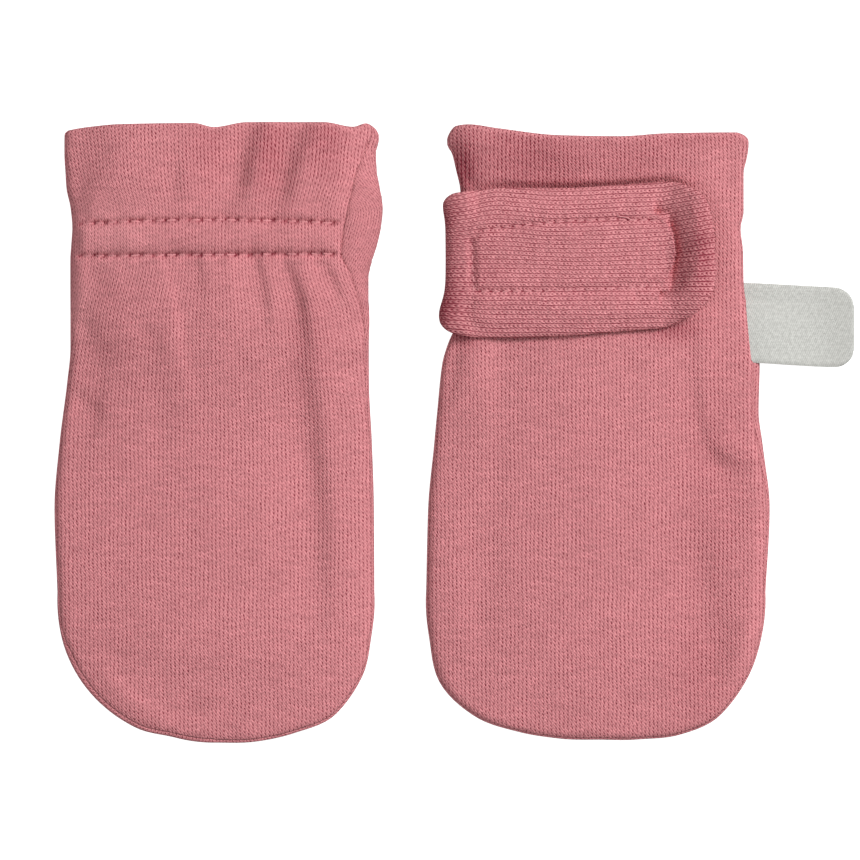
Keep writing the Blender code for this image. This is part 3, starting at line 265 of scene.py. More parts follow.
# Small gathers that fan out from each stitch row of the elastic channel.
PUCKERS_ABOVE = table(Pucker, (-25.6, 5, -0.2, 0.8, -0.15), (-22.2, 3.6, 0.16, 0.9, -0.1),
    (-18.9, 6, -0.22, 0.9, -0.12), (-15.4, 4.4, 0.15, 1, -0.05), (-12.3, 3.2, -0.16, 0.7, 0),
    (-6.6, 4.8, -0.24, 0.9, 0.1), (-3.1, 3.4, 0.18, 0.9, 0.12), (1.4, 5.2, -0.3, 1, 0.25),
    (9.1, 4, 0.22, 0.8, 0.2), (18, 4.4, 0.24, 0.9, 0.22), (21.2, 5.4, -0.26, 0.8, 0.25),
    (23.8, 3.6, 0.16, 0.7, 0.22))
PUCKERS_BETWEEN = table(Pucker, (-24.4, 6.2, -0.14, 0.7, 0.1), (-20.7, 6.2, -0.12, 0.8, 0.1),
    (-17.1, 6.2, 0.1, 0.9, 0.1), (-13.6, 6.2, -0.12, 0.7, 0.06), (-8.9, 6.2, -0.16, 0.8, 0.05),
    (-4.6, 6.2, 0.1, 0.8, 0), (-0.9, 6.2, -0.14, 0.7, 0), (3.5, 6.2, -0.12, 0.7, -0.05),
    (7.7, 6.2, -0.2, 0.8, -0.1), (11.1, 6.2, 0.12, 0.8, -0.15), (15, 6.2, -0.24, 0.8, -0.2),
    (19.4, 6.2, -0.16, 0.7, -0.2), (22.6, 6.2, 0.12, 0.7, -0.2))
PUCKERS_BELOW = table(Pucker, (-25.1, 6, -0.18, 0.9, 0.1), (-21.8, 4.4, 0.14, 0.9, 0.1),
    (-18.2, 7, -0.2, 0.9, 0.12), (-14.6, 5, -0.16, 0.8, 0.1), (-11.2, 4, 0.18, 0.8, 0.1),
    (-6.1, 5.6, -0.2, 0.8, 0.08), (-2.5, 4.2, 0.14, 0.8, 0.05), (1.1, 6.4, -0.22, 0.9, 0.08),
    (6.6, 4.6, 0.16, 0.8, 0.15), (12.1, 5.4, 0.22, 0.8, 0.25), (16.9, 4.6, 0.24, 0.8, 0.3),
    (19.7, 7, -0.28, 0.8, 0.35), (24.3, 3.6, 0.16, 0.7, 0.35))

# How much narrower than cut the gathered cloth lies, along the mitten: y, ratio.
GATHERS = ((94, 1.08), (84, 1.12), (75.5, 1.24), (66, 1.24), (56, 1.09), (44, 1.03),
    (30, 1), (-40, 1))

# ---------------- strap and label
# The strap's own plan is turned: its y runs to the sewn root along the mitten's -x, and
# its x runs up the mitten, so "left" is the edge nearer the finger tips.
STRAP_TIP_CENTRE = (11.6, 66.4)
STRAP_SIDES = ((46, 12, 11.8), (43, 13.4, 12.3), (40, 14.8, 13.4), (36, 15.5, 13.9),
    (30, 15.6, 14.4), (18, 15.2, 14.4), (8, 14.4, 15), (0, 13.8, 15.5))
STRAP_TIP = ((0, 15.5), (20, 16.1), (32, 16), (43, 15.1), (60, 13.1), (86, 11.8), (113, 12.7),
    (132, 13.2), (150, 13.2), (180, 13.8))
# The line of stitches that holds the hook tape, as it lies pulled on the closed strap.
SEWN_LINE = (
    (12.4, 73.9), (7.0, 74.5), (0.4, 74.3), (-6.6, 74.1), (-17.6, 73.0), (-23.8, 72.2),
    (-25.3, 70.8), (-24.9, 60.6), (-23.9, 60.0), (-10.0, 60.2), (0.8, 60.5), (12.0, 61.3))
NEEDLE_ROWS = table(NeedleRow,
    (2.1, 0.75, ((-24.4, 72.2), (-17.6, 73), (-6.6, 74.1), (0.4, 74.4), (10.6, 74.3))),
    (0.9, 1.00, ((3.6, 75.1), (5.2, 74.9), (7, 74.3))),
    (2.1, 0.80, ((-24.6, 60.1), (-10, 60.2))),
    (2.1, 0.35, ((-10, 60.2), (0.8, 60.5), (10.6, 61.2))),
    (2.1, 0.35, ((-25.3, 71), (-24.9, 60.8))))
SEWN_END = (
    (11.2, 75.8), (13.4, 74.2), (14.8, 71.4), (15.3, 68.2), (14.8, 65.4), (13.8, 62.8), (12.2, 60.0))
ROWS_RISE_AT_FOLD = 2.2
ROWS_FALL_AT_FOLD = 0.9
ROWS_SAG = 1.0
ROWS_CLIMB = 0.16         # a slope, towards the strap's free end
# Where each bend of the rows starts and where it is full, in x and in y.
ROWS_FOLD_X, ROWS_ABOVE_Y, ROWS_BELOW_Y = (-19, -31), (66, 79), (62, 52)
ROWS_SAG_LEFT_X, ROWS_SAG_RIGHT_X, ROWS_SAG_Y = (-21, -7), (16, -6), (58, 78)
ROWS_CLIMB_X, ROWS_CLIMB_Y = 13, (59, 72)
# Spots of painted shade on the strap's knit: round its fold, past the tape's end and by the tape's ends
# and corners; x, y, half width, half height, depth.
STRAP_STRETCH_AND_SHADE = table(Stretch, (-30, 57, 3, 4.5, 0.6), (-30, 66, 2.4, 8, 0.24),
    (-30.5, 75, 3, 3.5, 0.44), (16.8, 67.6, 1.8, 6.6, 0.22), (20.8, 68, 2.2, 8.5, 0.46),
    (14.4, 74, 2.2, 1.6, 0.1), (15.6, 61.4, 2.4, 2.4, 0.15), (-23.5, 66, 3.5, 8, 0.1))
STRAP_SLACK = table(Slack, (55.5, 3.5, 1.2), (77, 2.5, 0.4))
STRAP_PLATEAU = 3.0       # top of the closed strap above the mitten, on the tapes
STRAP_RIM_TOP = 2.2
STRAP_UPPER_RIM_TOP = 2.6
STRAP_RIM_IN = 1.0
STRAP_PLATEAU_RISE = 3.0
END_TOP = 6.2             # the free end of the strap stands up past the tape
END_RISE_START = 13.0
END_RISE = 8.6
END_LIFT = 3.6            # how far its under face is lifted there
END_LIFT_START = 15.4
END_LIFT_RISE = 5.5
STRAP_LEAST = 1.0         # thickness that the creases leave at least
STRAP_CREASE_FADE = 2.0
END_DIP = 2.6             # how far the cloth falls away past the end of the tape
END_DIP_REACH = 2.0
END_DIP_EDGE = 0.15
END_DIP_LOW = 56.6        # the dip lies between these two heights on the hand
END_DIP_HIGH = 80.4
END_DIP_FADE = 5.0
STRAP_FOLDS = (
    Fold(0.04, 0.1, 0.08, 0.7, ((-26.5, 73.6), (-26.4, 66), (-26.1, 58.8))),
    Flank(0.25, 0.36, 0.28, 1.8, ((-25.6, 73.6), (-25.4, 66), (-25, 58.8))),
    Fold(-0.1, -0.16, -0.05, 1.1, ((-20, 55.2), (-8, 54.6), (4, 54.9))),
    Fold(-0.05, -0.14, -0.05, 1.2, ((-24, 79), (-12, 79.4), (2, 79))),
    Fold(-0.05, 0.14, 0.05, 1, ((-22, 75.4), (-10, 76.6), (6, 78))),
    Fold(0.05, 0.16, 0.05, 1.3, ((-21, 57.6), (-6, 57.2), (9, 58.4))),
    Fold(-0.05, -0.22, -0.05, 0.8, ((5.6, 60.6), (8.6, 58.6), (12.6, 57.8))),
    Fold(0.1, 0.3, 0.1, 1.2, ((15, 59.2), (18, 61.6), (19.4, 65.6))))
LABEL_ROOT_LOW = (31.1, 45.9)
LABEL_ROOT_HIGH = (29.2, 62.1)
# Along the label: x, and y of its lower and upper edges.
LABEL_EDGES = ((31.1, 45.9, 61.95), (40, 45.3, 61.4), (47, 45, 61), (51.4, 45, 60.7))

TOP_GRAIN = Grain(rows=0.55, tip=132, rings=74, fine_rows=0.24)
UNDER_GRAIN = Grain(rows=1.1, tip=72, rings=40, fine_rows=0.5)
LABEL_STEPS = 40
LABEL_FINE_END = 0.22     # share of the label's length whose rows lie closer together
LABEL_END_STEPS = 22
LABEL_COLUMNS = 33
STRAP_ROWS = 0.32
STRAP_TIP_SPOKES = 110
STRAP_RINGS = 48
STRAP_RIM_STEPS = 8
FINE_REACH = 1.3          # beside a stitch row, where the fine rows are
SECTION_STEPS = 140
LIP_STEPS = 7


# ---------------- curves and plans
def spline(xs, ys):
    """A smooth curve through the points that doesn't overshoot them, for whole arrays."""
    xs, ys = np.array(xs, float), np.array(ys, float)
    slopes = np.diff(ys) / np.diff(xs)
    before, after = slopes[:-1], slopes[1:]
    total = np.where(before * after > 0, before + after, 1.0)
    inner = np.where(before * after > 0, 2 * before * after / total, 0.0)
    tangents = np.concatenate([slopes[:1], inner, slopes[-1:]])

    def value(x):
        x = np.clip(x, xs[0], xs[-1])
        i = np.clip(np.searchsorted(xs, x, side="right") - 1, 0, len(xs) - 2)
        width = xs[i + 1] - xs[i]
        t = (x - xs[i]) / width
        start = (1 + 2 * t) * (1 - t) ** 2 * ys[i] + t * (1 - t) ** 2 * width * tangents[i]
        end = t * t * (3 - 2 * t) * ys[i + 1] + t * t * (t - 1) * width * tangents[i + 1]
        return start + end

    return value


def curves(rows):
    """Splines of a table's other columns against its first."""
    first, *others = zip(*sorted(rows))
    return [spline(first, values) for values in others]


def smooth_step(t):
    t = np.clip(t, 0.0, 1.0)
    return t * t * (3 - 2 * t)


def ramp(value, ends):
    """A smooth rise from 0 at the first end to 1 at the second."""
    start, full = ends
    return smooth_step((value - start) / (full - start))


def rounded(t, power=ROUND_POWER):
    """Rises from 0 to 1 like the quarter of a rounded rim, upright at first."""
    return (1 - (1 - np.clip(t, 0.0, 1.0)) ** power) ** (1 / power)


def stretch_and_painted_shade(places, x, y):
    """Painted shade that darkens the knit's colour, and painted light where a spot's depth is below 0;
    it stands partly for stretched knit that opens between its loops.
    """
    return sum(at.depth * hump(x - at.x, at.half_width) * hump(y - at.y, at.half_height)
               for at in places)


def hump(distance, spread):
    return np.exp(-(distance / spread) ** 2)


class Outline:
    """A U-shaped plan: two sides running up to an open end, and a round tip below."""

    def __init__(self, sides, tip):
        self.left, self.right = curves(sides)
        self.radius, = curves(tip)

    def reach(self, x, y):
        """Length of the spoke that a place lies on."""
        tip = self.radius(np.degrees(np.arctan2(-y, x)))
        return np.where(y < 0, tip, np.where(x < 0, self.left(y), self.right(y)))

    def inset(self, x, y):
        """How far in from the outline a place lies, below 0 outside it."""
        return self.reach(x, y) - np.where(y < 0, np.hypot(x, y), np.abs(x))

    def spokes(self, heights, tip_count):
        """Starts and ends of spokes down the left side, round the tip and up the right."""
        heights = np.array(heights, float)
        angles = np.radians(180 * (1 - np.arange(1, tip_count + 1) / (tip_count + 1)))
        radii = self.radius(np.degrees(angles))
        tip = np.stack([radii * np.cos(angles), -radii * np.sin(angles)], 1)
        left = np.stack([-self.left(heights), heights], 1)
        right = np.stack([self.right(heights), heights], 1)[::-1]
        middle = np.stack([np.zeros_like(heights), heights], 1)
        starts = np.concatenate([left, tip, right])
        ends = np.concatenate([middle, np.zeros_like(tip), middle[::-1]])
        return starts, ends


STRAP_OUTLINE = Outline(STRAP_SIDES, STRAP_TIP)


def on_strap(x, y):
    """A place in the right mitten's plan, in the strap's own turned plan."""
    return y - STRAP_TIP_CENTRE[1], STRAP_TIP_CENTRE[0] - x


def tape_distance(x, y):
    """Distance out from the tape's rectangle, below 0 inside it."""
    dx, dy = x - TAPE_CENTRE[0], y - TAPE_CENTRE[1]
    along = np.abs(dx * math.cos(TAPE_SLANT) + dy * math.sin(TAPE_SLANT)) - TAPE_LENGTH / 2
    across = np.abs(dy * math.cos(TAPE_SLANT) - dx * math.sin(TAPE_SLANT)) - TAPE_WIDTH / 2
    outside = np.hypot(np.maximum(along, 0.0), np.maximum(across, 0.0))
    return outside + np.minimum(np.maximum(along, across), 0.0)


def smooth_path(points, steps=6):
    """A path's points with a soft curve between them."""
    points = np.array(points, float)
    along = np.arange(len(points))
    fine = np.linspace(0, len(points) - 1, steps * (len(points) - 1) + 1)
    return list(zip(spline(along, points[:, 0])(fine), spline(along, points[:, 1])(fine)))


PathFrame = namedtuple("PathFrame", "distance along side overrun")


def path_frame(x, y, points):
    """Where places lie by a path: distance, share along, signed side and run past its ends."""
    best, place, side, overrun = (np.full(np.shape(x), value) for value in (1e9, 0.0, 0.0, 0.0))
    for index, ((ax, ay), (bx, by)) in enumerate(zip(points, points[1:])):
        length = math.hypot(bx - ax, by - ay)
        dx, dy = (bx - ax) / length, (by - ay) / length
        run = (x - ax) * dx + (y - ay) * dy
        on_path = np.clip(run, 0.0, length)
        across = (y - ay) * dx - (x - ax) * dy
        distance = np.hypot(across, run - on_path)
        nearer = distance < best
        best = np.where(nearer, distance, best)
        place = np.where(nearer, (index + on_path / length) / (len(points) - 1), place)
        side = np.where(nearer, across, side)
        overrun = np.where(nearer, np.abs(run - on_path), overrun)
    return PathFrame(best, place, side, overrun)


def fold_relief(folds, x, y):
    """Folds are ridges or troughs. Flanks step up to the left of their path and ease back."""
    relief = np.zeros(np.shape(x))
    for fold in folds:
        by = path_frame(x, y, smooth_path(fold.points))
        rise = spline((0.0, 0.5, 1.0), (fold.start, fold.middle, fold.end))(by.along)
        if isinstance(fold, Flank):
            share = by.side / fold.spread
            relief += (rise * np.tanh(FLANK_STEEPNESS * share) * hump(share, FLANK_REACH)
                       * hump(by.overrun, 2 * fold.spread))
        else:
            relief += rise * hump(by.distance, fold.spread)
    return relief


def pucker_relief(puckers, x, from_row):
    """Small gathers that start at a stitch row and fade out away from it."""
    relief = np.zeros(np.shape(x))
    for pucker in puckers:
        share = from_row / pucker.reach
        strength = smooth_step(from_row / PUCKER_START) * (1 - smooth_step(share)) * (from_row > 0)
        relief += pucker.rise * strength * hump(x - pucker.x - pucker.lean * from_row,
                                                pucker.spread * (1 + PUCKER_WIDENS * share))
    return relief


def needle_hole(along, across, half_width):
    """1 in the middle of a needle's hole, which slants across its row."""
    return hump(along - HOLE_SLANT * across, HOLE_HALF_LENGTH) * hump(across, half_width)


def pressed_by_strap(x, y):
    """The closed strap presses the cloth down, most at its upper edge."""
    off = -STRAP_OUTLINE.inset(*on_strap(x, y))
    depth = PRESS_BELOW + (PRESS - PRESS_BELOW) * smooth_step((y - LOWER_RIM_Y) / PRESS_BLEND)
    before_end = 1 - smooth_step((x - PRESS_END) / PRESS_END_FADE)
    beside = 1 - smooth_step((off + PRESS_START) / PRESS_EASE)
    return -depth * before_end * beside * smooth_step((off + PRESS_UNDER) / PRESS_UNDER)


def channel_low(x):
    """The channel's lower row of stitches rises a little across the hand."""
    return CHANNEL_LOW + CHANNEL_LOW_RISE * x / CHANNEL_HALF


def channel_high(x):
    """The upper row bows down at both sides."""
    return CHANNEL_HIGH + CHANNEL_HIGH_RISE - CHANNEL_HIGH_BOW * (x / CHANNEL_HALF) ** 2


class Form:
    """The heights of one mitten's outer and inner faces over its plan."""

    def __init__(self, mitten):
        self.mitten = mitten
        self.outline = Outline(mitten.sides, mitten.tip)
        self.wrist, = curves(mitten.wrist)
        self.seam_left, self.seam_right = curves(mitten.seam)
        self.height, = curves(mitten.heights)
        self.gather = curves(GATHERS)[0] if mitten.gathered else np.ones_like

    def seam(self, x, y):
        return np.where(x < 0, self.seam_left(y), self.seam_right(y))

    def holes(self, x, y):
        """How deep in a needle hole of the channel's stitch rows a place is, from 0 to 1."""
        depth = np.zeros(np.shape(x))
        for row in (channel_low, channel_high):
            number = np.round(x / STITCH_PITCH)
            along = x - (number + HOLE_WANDER * np.sin(number * 2.4)) * STITCH_PITCH
            across = y - row(x) - HOLE_WANDER * np.sin(number * 1.7)
            strength = 0.85 + 0.15 * np.sin(number * 4.1)
            depth += strength * needle_hole(along, across, HOLE_HALF_WIDTH)
        return depth

    def channel_relief(self, x, y):
        """The elastic channel stands up between two stitched furrows."""
        low, high = channel_low(x), channel_high(x)
        middle, half = (low + high) / 2, (high - low) / 2
        puff = CHANNEL_PUFF * np.cos(np.minimum(np.abs(y - middle) / half, 1.0) * np.pi / 2)
        sink = hump(y - low, STITCH_SPREAD) + hump(y - high, STITCH_SPREAD)
        gathers = (pucker_relief(PUCKERS_ABOVE, x, y - high)
                   + pucker_relief(PUCKERS_BELOW, x, low - y)
                   + pucker_relief(PUCKERS_BETWEEN, x, np.where(y < high, y - low, -1)))
        from_seam = self.outline.inset(x, y) - self.seam(x, y)
        whole = puff - STITCH_SINK * sink - HOLE_DEPTH * self.holes(x, y) + gathers
        return whole * smooth_step(from_seam / CHANNEL_FADE)

    def relief(self, x, y):
        relief = fold_relief(self.mitten.folds, x, y)
        if self.mitten.gathered:
            relief = relief + self.channel_relief(x, y)
        else:
            relief = relief + pressed_by_strap(x, y)
        lowest = np.maximum(DEEPEST_RELIEF, np.minimum(CLOSED_HEIGHT - self.smooth_upper(x, y), 0.0))
        return np.maximum(relief, lowest) * smooth_step(self.outline.inset(x, y) / RELIEF_FADE)

    def lift(self, x, y, reach):
        """The cloth rises over the mitten's own strap and tapes where they lie below."""
        if not self.mitten.lifted:
            return np.zeros(np.shape(x))
        off_strap = -STRAP_OUTLINE.inset(*on_strap(-x, y))
        off_tape = tape_distance(-x, y)
        return (STRAP_RISE * (1 - smooth_step((off_strap - LIFT_MARGIN) / reach))
                + TAPES_RISE * (1 - smooth_step((off_tape - LIFT_MARGIN) / reach)))

    def under_lift(self, x, y):
        return self.lift(x, y, UNDER_LIFT_REACH)

    def upper_lift(self, x, y):
        """The upper panel is sewn to the under one at the rim and bridges the strap."""
        sewn = self.under_lift(x, y)
        bridged = self.lift(x, y, UPPER_LIFT_REACH)
        return sewn + (bridged - sewn) * smooth_step(self.outline.inset(x, y) / LIFT_RIM)

    def smooth_upper(self, x, y):
        inset = self.outline.inset(x, y)
        share = rounded(inset / UPPER_ROUND) * (1 - CROWN_SHARE)
        crown = np.sin(np.pi / 2 * np.maximum(inset, 0.0) / self.outline.reach(x, y)) * CROWN_SHARE
        return SEAM_HEIGHT + (self.height(y) - SEAM_HEIGHT) * (share + crown)

    def plain_upper(self, x, y):
        return self.smooth_upper(x, y) + self.upper_lift(x, y)

    def upper(self, x, y):
        return self.plain_upper(x, y) + self.relief(x, y)

    def upper_inside(self, x, y):
        inset = self.outline.inset(x, y) - WALL
        troughs = np.minimum(self.relief(x, y) + RELIEF_IN_WALL, 0.0)
        rise = np.maximum(self.smooth_upper(x, y) + troughs - WALL - SEAM_HEIGHT, 0.0)
        return SEAM_HEIGHT + rise * rounded(inset / UPPER_ROUND) + self.upper_lift(x, y)

    def under(self, x, y):
        inset = self.outline.inset(x, y)
        return SEAM_HEIGHT * (1 - rounded(inset / UNDER_ROUND)) + self.under_lift(x, y)

    def under_inside(self, x, y):
        inset = self.outline.inset(x, y) - WALL
        drop = SEAM_HEIGHT - WALL
        return SEAM_HEIGHT - drop * rounded(inset / UNDER_ROUND) + self.under_lift(x, y)

    def place(self, points):
        """Points of the mitten's plan in the pair's own frame, in metres."""
        x, y, z = np.moveaxis(np.asarray(points, float), -1, 0)
        bend = smooth_step((y - WRIST_Y + WRIST_BEND_REACH) / (WRIST_BEND_REACH - WALL / 2))
        bent = y + (self.wrist(x) - WRIST_Y) * bend
        moved = np.stack([x + self.mitten.centre_x, bent + TIP_CENTRE_Y, z], -1)
        return moved * MILLIMETRE


# ---------------- sections along spokes
class Sections:
    """The lines round all spokes' sections: in under the rim, round it, back over the top."""

    def __init__(self, starts, ends, under, upper, first_inset):
        self.starts, self.ends = starts, ends
        self.reach = np.hypot(*(starts - ends).T)
        shares = (np.arange(SECTION_STEPS + 1) / SECTION_STEPS) ** 2
        self.insets = first_inset + (self.reach[:, None] - first_inset) * shares
        along = (self.insets / self.reach[:, None])[..., None]
        plan = starts[:, None] + (ends - starts)[:, None] * along
        x, y = plan[..., 0], plan[..., 1]
        below = np.stack([x, y, under(x, y)], -1)
        above = np.stack([x, y, upper(x, y)], -1)
        self.points = np.concatenate([below[:, :0:-1], above], 1)
        steps = np.linalg.norm(np.diff(self.points, axis=1), axis=2)
        walked = np.concatenate([np.zeros((len(starts), 1)), np.cumsum(steps, 1)], 1)
        self.arcs = walked - walked[:, SECTION_STEPS:SECTION_STEPS + 1]

    def arc_at(self, insets):
        """Arc length from the rim to a place on each upper line."""
        arcs = self.arcs[:, SECTION_STEPS:]
        return np.array([np.interp(*row) for row in zip(insets, self.insets, arcs)])

    def at(self, arcs):
        """Points at a row of arc lengths on each spoke."""
        made = np.empty((*arcs.shape, 3))
        for index, row in enumerate(arcs):
            for axis in range(3):
                made[index, :, axis] = np.interp(row, self.arcs[index],
                                                 self.points[index, :, axis])
        return made


def row_heights(grain, fine_at):
    """Heights of the side spokes, closer together at the stitch rows."""
    heights = [WRIST_Y - WALL / 2]
    while heights[-1] > grain.rows:
        fine = any(abs(heights[-1] - row) < FINE_REACH for row in fine_at)
        heights.append(heights[-1] - (grain.fine_rows if fine else grain.rows))
    return heights[:-1] + [0.0]


def ring_arcs(seam_arcs, end_arcs, count, gap):
    """Arc lengths from the seam to the middle, a little closer together at the rim."""
    shares = (np.arange(count + 1) / count) ** 1.1
    starts = seam_arcs + np.sign(end_arcs) * gap / 2
    return starts[:, None] + (end_arcs - starts)[:, None] * shares


def unrolled(sections, arcs, end_arcs):
    """Flat places of the cloth, in millimetres, along each spoke from the middle out."""
    out = (sections.starts - sections.ends) / sections.reach[:, None]
    lengths = np.abs(end_arcs[:, None] - arcs)
    return sections.ends[:, None] + out[:, None] * lengths[..., None]


def seam_roll(arcs):
    """A panel's edge turns inwards next to its seam."""
    return -SEAM_ROLL * hump(np.abs(arcs - arcs[:, :1]), SEAM_ROLL_REACH)


# ---------------- meshes
Patch = namedtuple("Patch", "points flat shade")


def patch(points, flat, shade=None):
    """A grid of points, their flat places on the cloth and the painted shade there, of needle holes and
    of stretched knit.
    """
    points = np.asarray(points, float)
    return Patch(points, np.asarray(flat, float),
                 np.zeros(points.shape[:2]) if shade is None else shade)


def grid_faces(first, rows, columns):
    index = first + np.arange(rows * columns).reshape(rows, columns)
    corners = (index[:-1, :-1], index[:-1, 1:], index[1:, 1:], index[1:, :-1])
    return np.stack([corner.ravel() for corner in corners], 1)


def cloth_mesh(name, patches, caps=()):
    """One closed mesh from grids that share edges, with the flat cloth as its UV map."""
    points = np.concatenate([p.points.reshape(-1, 3) for p in patches])
    flat = np.concatenate([p.flat.reshape(-1, 2) for p in patches])
    shade = np.concatenate([p.shade.reshape(-1) for p in patches])
    faces, first = [], 0
    for p in patches:
        faces += grid_faces(first, *p.points.shape[:2]).tolist()
        first += p.points.shape[0] * p.points.shape[1]
    faces += [list(cap) for cap in caps]
    mesh = bpy.data.meshes.new(name)
    mesh.from_pydata(points.tolist(), [], faces)
    corners = np.empty(len(mesh.loops), np.int32)
    mesh.loops.foreach_get("vertex_index", corners)
    layer = mesh.uv_layers.new(name="cloth")
    layer.data.foreach_set("uv", (flat[corners] * MILLIMETRE).astype(np.float32).ravel())
    # The hole attribute carries painted shade: it darkens the knit's colour at needle holes, in contact
    # shadows and where stretched knit opens.
    attribute = mesh.attributes.new("hole", "FLOAT", "POINT")
    attribute.data.foreach_set("value", shade.astype(np.float32))
    bm = bmesh.new()
    bm.from_mesh(mesh)
    bmesh.ops.remove_doubles(bm, verts=bm.verts, dist=2e-6)
    bmesh.ops.dissolve_degenerate(bm, edges=bm.edges, dist=1e-7)
    bmesh.ops.recalc_face_normals(bm, faces=bm.faces)
    bm.to_mesh(mesh)
    bm.free()
    mesh.shade_smooth()
    return mesh


def new_object(name, data):
    """An object of the scene that holds a mesh, a lamp or a camera."""
    made = bpy.data.objects.new(name, data)
    bpy.context.scene.collection.objects.link(made)
    return made


def add_piece(name, mesh, material, replaces=()):
    """A finished piece on the body, standing for the solids that it names."""
    mesh.materials.clear()
    mesh.materials.append(material)
    piece = new_object(name, mesh)
    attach(piece, BODY)
    if replaces:
        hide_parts(*replaces)
    return piece


def wall_patches(form, on_top, grain):
    """Outer and inner skin of a panel as one grid, and the rounded lip at the wrist."""
    fine_at = (CHANNEL_LOW, CHANNEL_HIGH) if form.mitten.gathered and on_top else ()
    starts, ends = form.outline.spokes(row_heights(grain, fine_at), grain.tip)
    outer = Sections(starts, ends, form.under, form.plain_upper, 0.0)
    inner = Sections(starts, ends, form.under_inside, form.upper_inside, WALL)
    seams = form.seam(starts[:, 0], starts[:, 1])
    column_index = -1 if on_top else 0
    outer_ends, inner_ends = outer.arcs[:, column_index], inner.arcs[:, column_index]
    outer_arcs = ring_arcs(outer.arc_at(seams), outer_ends, grain.rings, SEWN_GAP)
    inner_seams = WALL + seams * (outer.reach - WALL) / outer.reach
    inner_arcs = ring_arcs(inner.arc_at(inner_seams), inner_ends, grain.rings, INNER_SEAM_GAP)
    outside, inside = outer.at(outer_arcs), inner.at(inner_arcs)
    over = outer_arcs > 0
    x, y = outside[..., 0], outside[..., 1]
    # Painted shade of the mitten's spots on the upper face, and painted light where a spot's depth is
    # below 0.
    shade = stretch_and_painted_shade(form.mitten.stretched, x, y) * over
    outside[..., 2] += np.where(over, form.relief(x, y) + seam_roll(outer_arcs), 0.0)
    if fine_at:
        from_seam = form.outline.inset(x, y) - form.seam(x, y)
        # Painted shade in the channel's needle holes, fading out towards the side seams.
        shade += form.holes(x, y) * smooth_step(from_seam / HOLE_FADE)
    flat = unrolled(outer, outer_arcs, outer_ends)
    flat[..., 0] *= form.gather(flat[..., 1])
    skin = patch(form.place(np.concatenate([outside[:, ::-1], inside], 1)),
                 np.concatenate([flat[:, ::-1], flat], 1),
                 np.concatenate([shade[:, ::-1], np.zeros_like(shade)], 1))
    return [skin, lip_patch(form, outside, inside, flat)]


def across_wrist(rows):
    """The wrist row of a skin: in along the first spoke and out along the last."""
    return np.concatenate([rows[0], rows[-1][-2::-1]])


def lip_patch(form, outside, inside, flat):
    """The wrist's rounded fold, from the outer skin round to the inner one."""
    a, b, places = across_wrist(outside), across_wrist(inside), across_wrist(flat)
    rows, flats = [], []
    for step in range(LIP_STEPS + 1):
        turn = math.pi * step / LIP_STEPS
        row = (a + b) / 2 + (a - b) / 2 * math.cos(turn)
        row[:, 1] += WALL / 2 * math.sin(turn)
        rows.append(form.place(row))
        flats.append(places + np.array([0.0, WALL / 2 * turn]))
    return patch(rows, flats)


def lip_caps(patches):
    """Faces that close the lip's two ends over the side seams."""
    skin, lip = patches
    first = skin.points.shape[0] * skin.points.shape[1]
    rows, columns = lip.points.shape[:2]
    return [[first + row * columns + end for row in range(rows)] for end in (0, columns - 1)]


def panel(name, form, on_top, grain, material, node):
    patches = wall_patches(form, on_top, grain)
    mesh = cloth_mesh(name, patches, lip_caps(patches))
    return add_piece(name, mesh, material, [node])


# ---------------- straps
def sewn_relief(x, y):
    """The furrow along the tape's stitches, and the deep dip past its rounded end."""
    to_line = path_frame(x, y, SEWN_LINE).distance
    to_end = path_frame(x, y, smooth_path(SEWN_END)).distance
    beyond = smooth_step(to_end / END_DIP_EDGE) * np.exp(-to_end / END_DIP_REACH)
    low, high = (y - END_DIP_LOW) / END_DIP_FADE, (END_DIP_HIGH - y) / END_DIP_FADE
    across = smooth_step(low) * smooth_step(high)
    dip = END_DIP * beyond * on_outer_side(x, y) * across
    return -TAPE_SINK * hump(to_line, TAPE_SINK_SPREAD) - dip


def on_outer_side(x, y):
    """1 past the round end of the tape's stitches, 0 on the tape's side of them."""
    edge, = curves((end_y, end_x) for end_x, end_y in SEWN_END)
    return smooth_step((x - edge(y)) / END_DIP_EDGE)


def strap_thickness(form, x, y):
    """From the under face up to the smooth top that bridges rims and tapes."""
    inset = STRAP_OUTLINE.inset(*on_strap(x, y))
    upper_rim = smooth_step((y - LOWER_RIM_Y) / RIM_BLEND)
    rim_top = STRAP_RIM_TOP + (STRAP_UPPER_RIM_TOP - STRAP_RIM_TOP) * upper_rim
    inner = smooth_step((inset - STRAP_RIM_IN) / STRAP_PLATEAU_RISE)
    at_end = smooth_step((x - END_RISE_START) / END_RISE)
    plateau = rim_top + (STRAP_PLATEAU - rim_top) * inner + (END_TOP - STRAP_PLATEAU) * at_end
    turned = STRAP_BEND_HEIGHT + STRAP_THICK / 2
    lying = smooth_step((x - STRAP_BEND_START) / STRAP_RIM_RISE)
    lying_top = form.plain_upper(x, y) + plateau + pressed_by_strap(x, y) / 2
    top = turned + (lying_top - turned) * lying
    creases = fold_relief(STRAP_FOLDS, x, y) * smooth_step(inset / STRAP_CREASE_FADE)
    return np.maximum(top + sewn_relief(x, y) + creases - lying_strap_under(form, x, y), STRAP_LEAST)


def lying_strap_under(form, x, y):
    """Under face of the closed strap: on the mitten, and over the tapes between them."""
    tape = TAPES_RISE * (1 - smooth_step((tape_distance(x, y) - TAPE_MARGIN) / TAPE_EASE))
    lying = form.upper(x, y) + SEAM_GAP + tape
    turned = STRAP_BEND_HEIGHT - STRAP_THICK / 2
    settled = smooth_step((x - STRAP_BEND_START) / STRAP_SETTLE)
    lying = lying + END_LIFT * smooth_step((x - END_LIFT_START) / END_LIFT_RISE)
    return np.maximum(turned + (lying - turned) * settled, np.minimum(lying, turned))


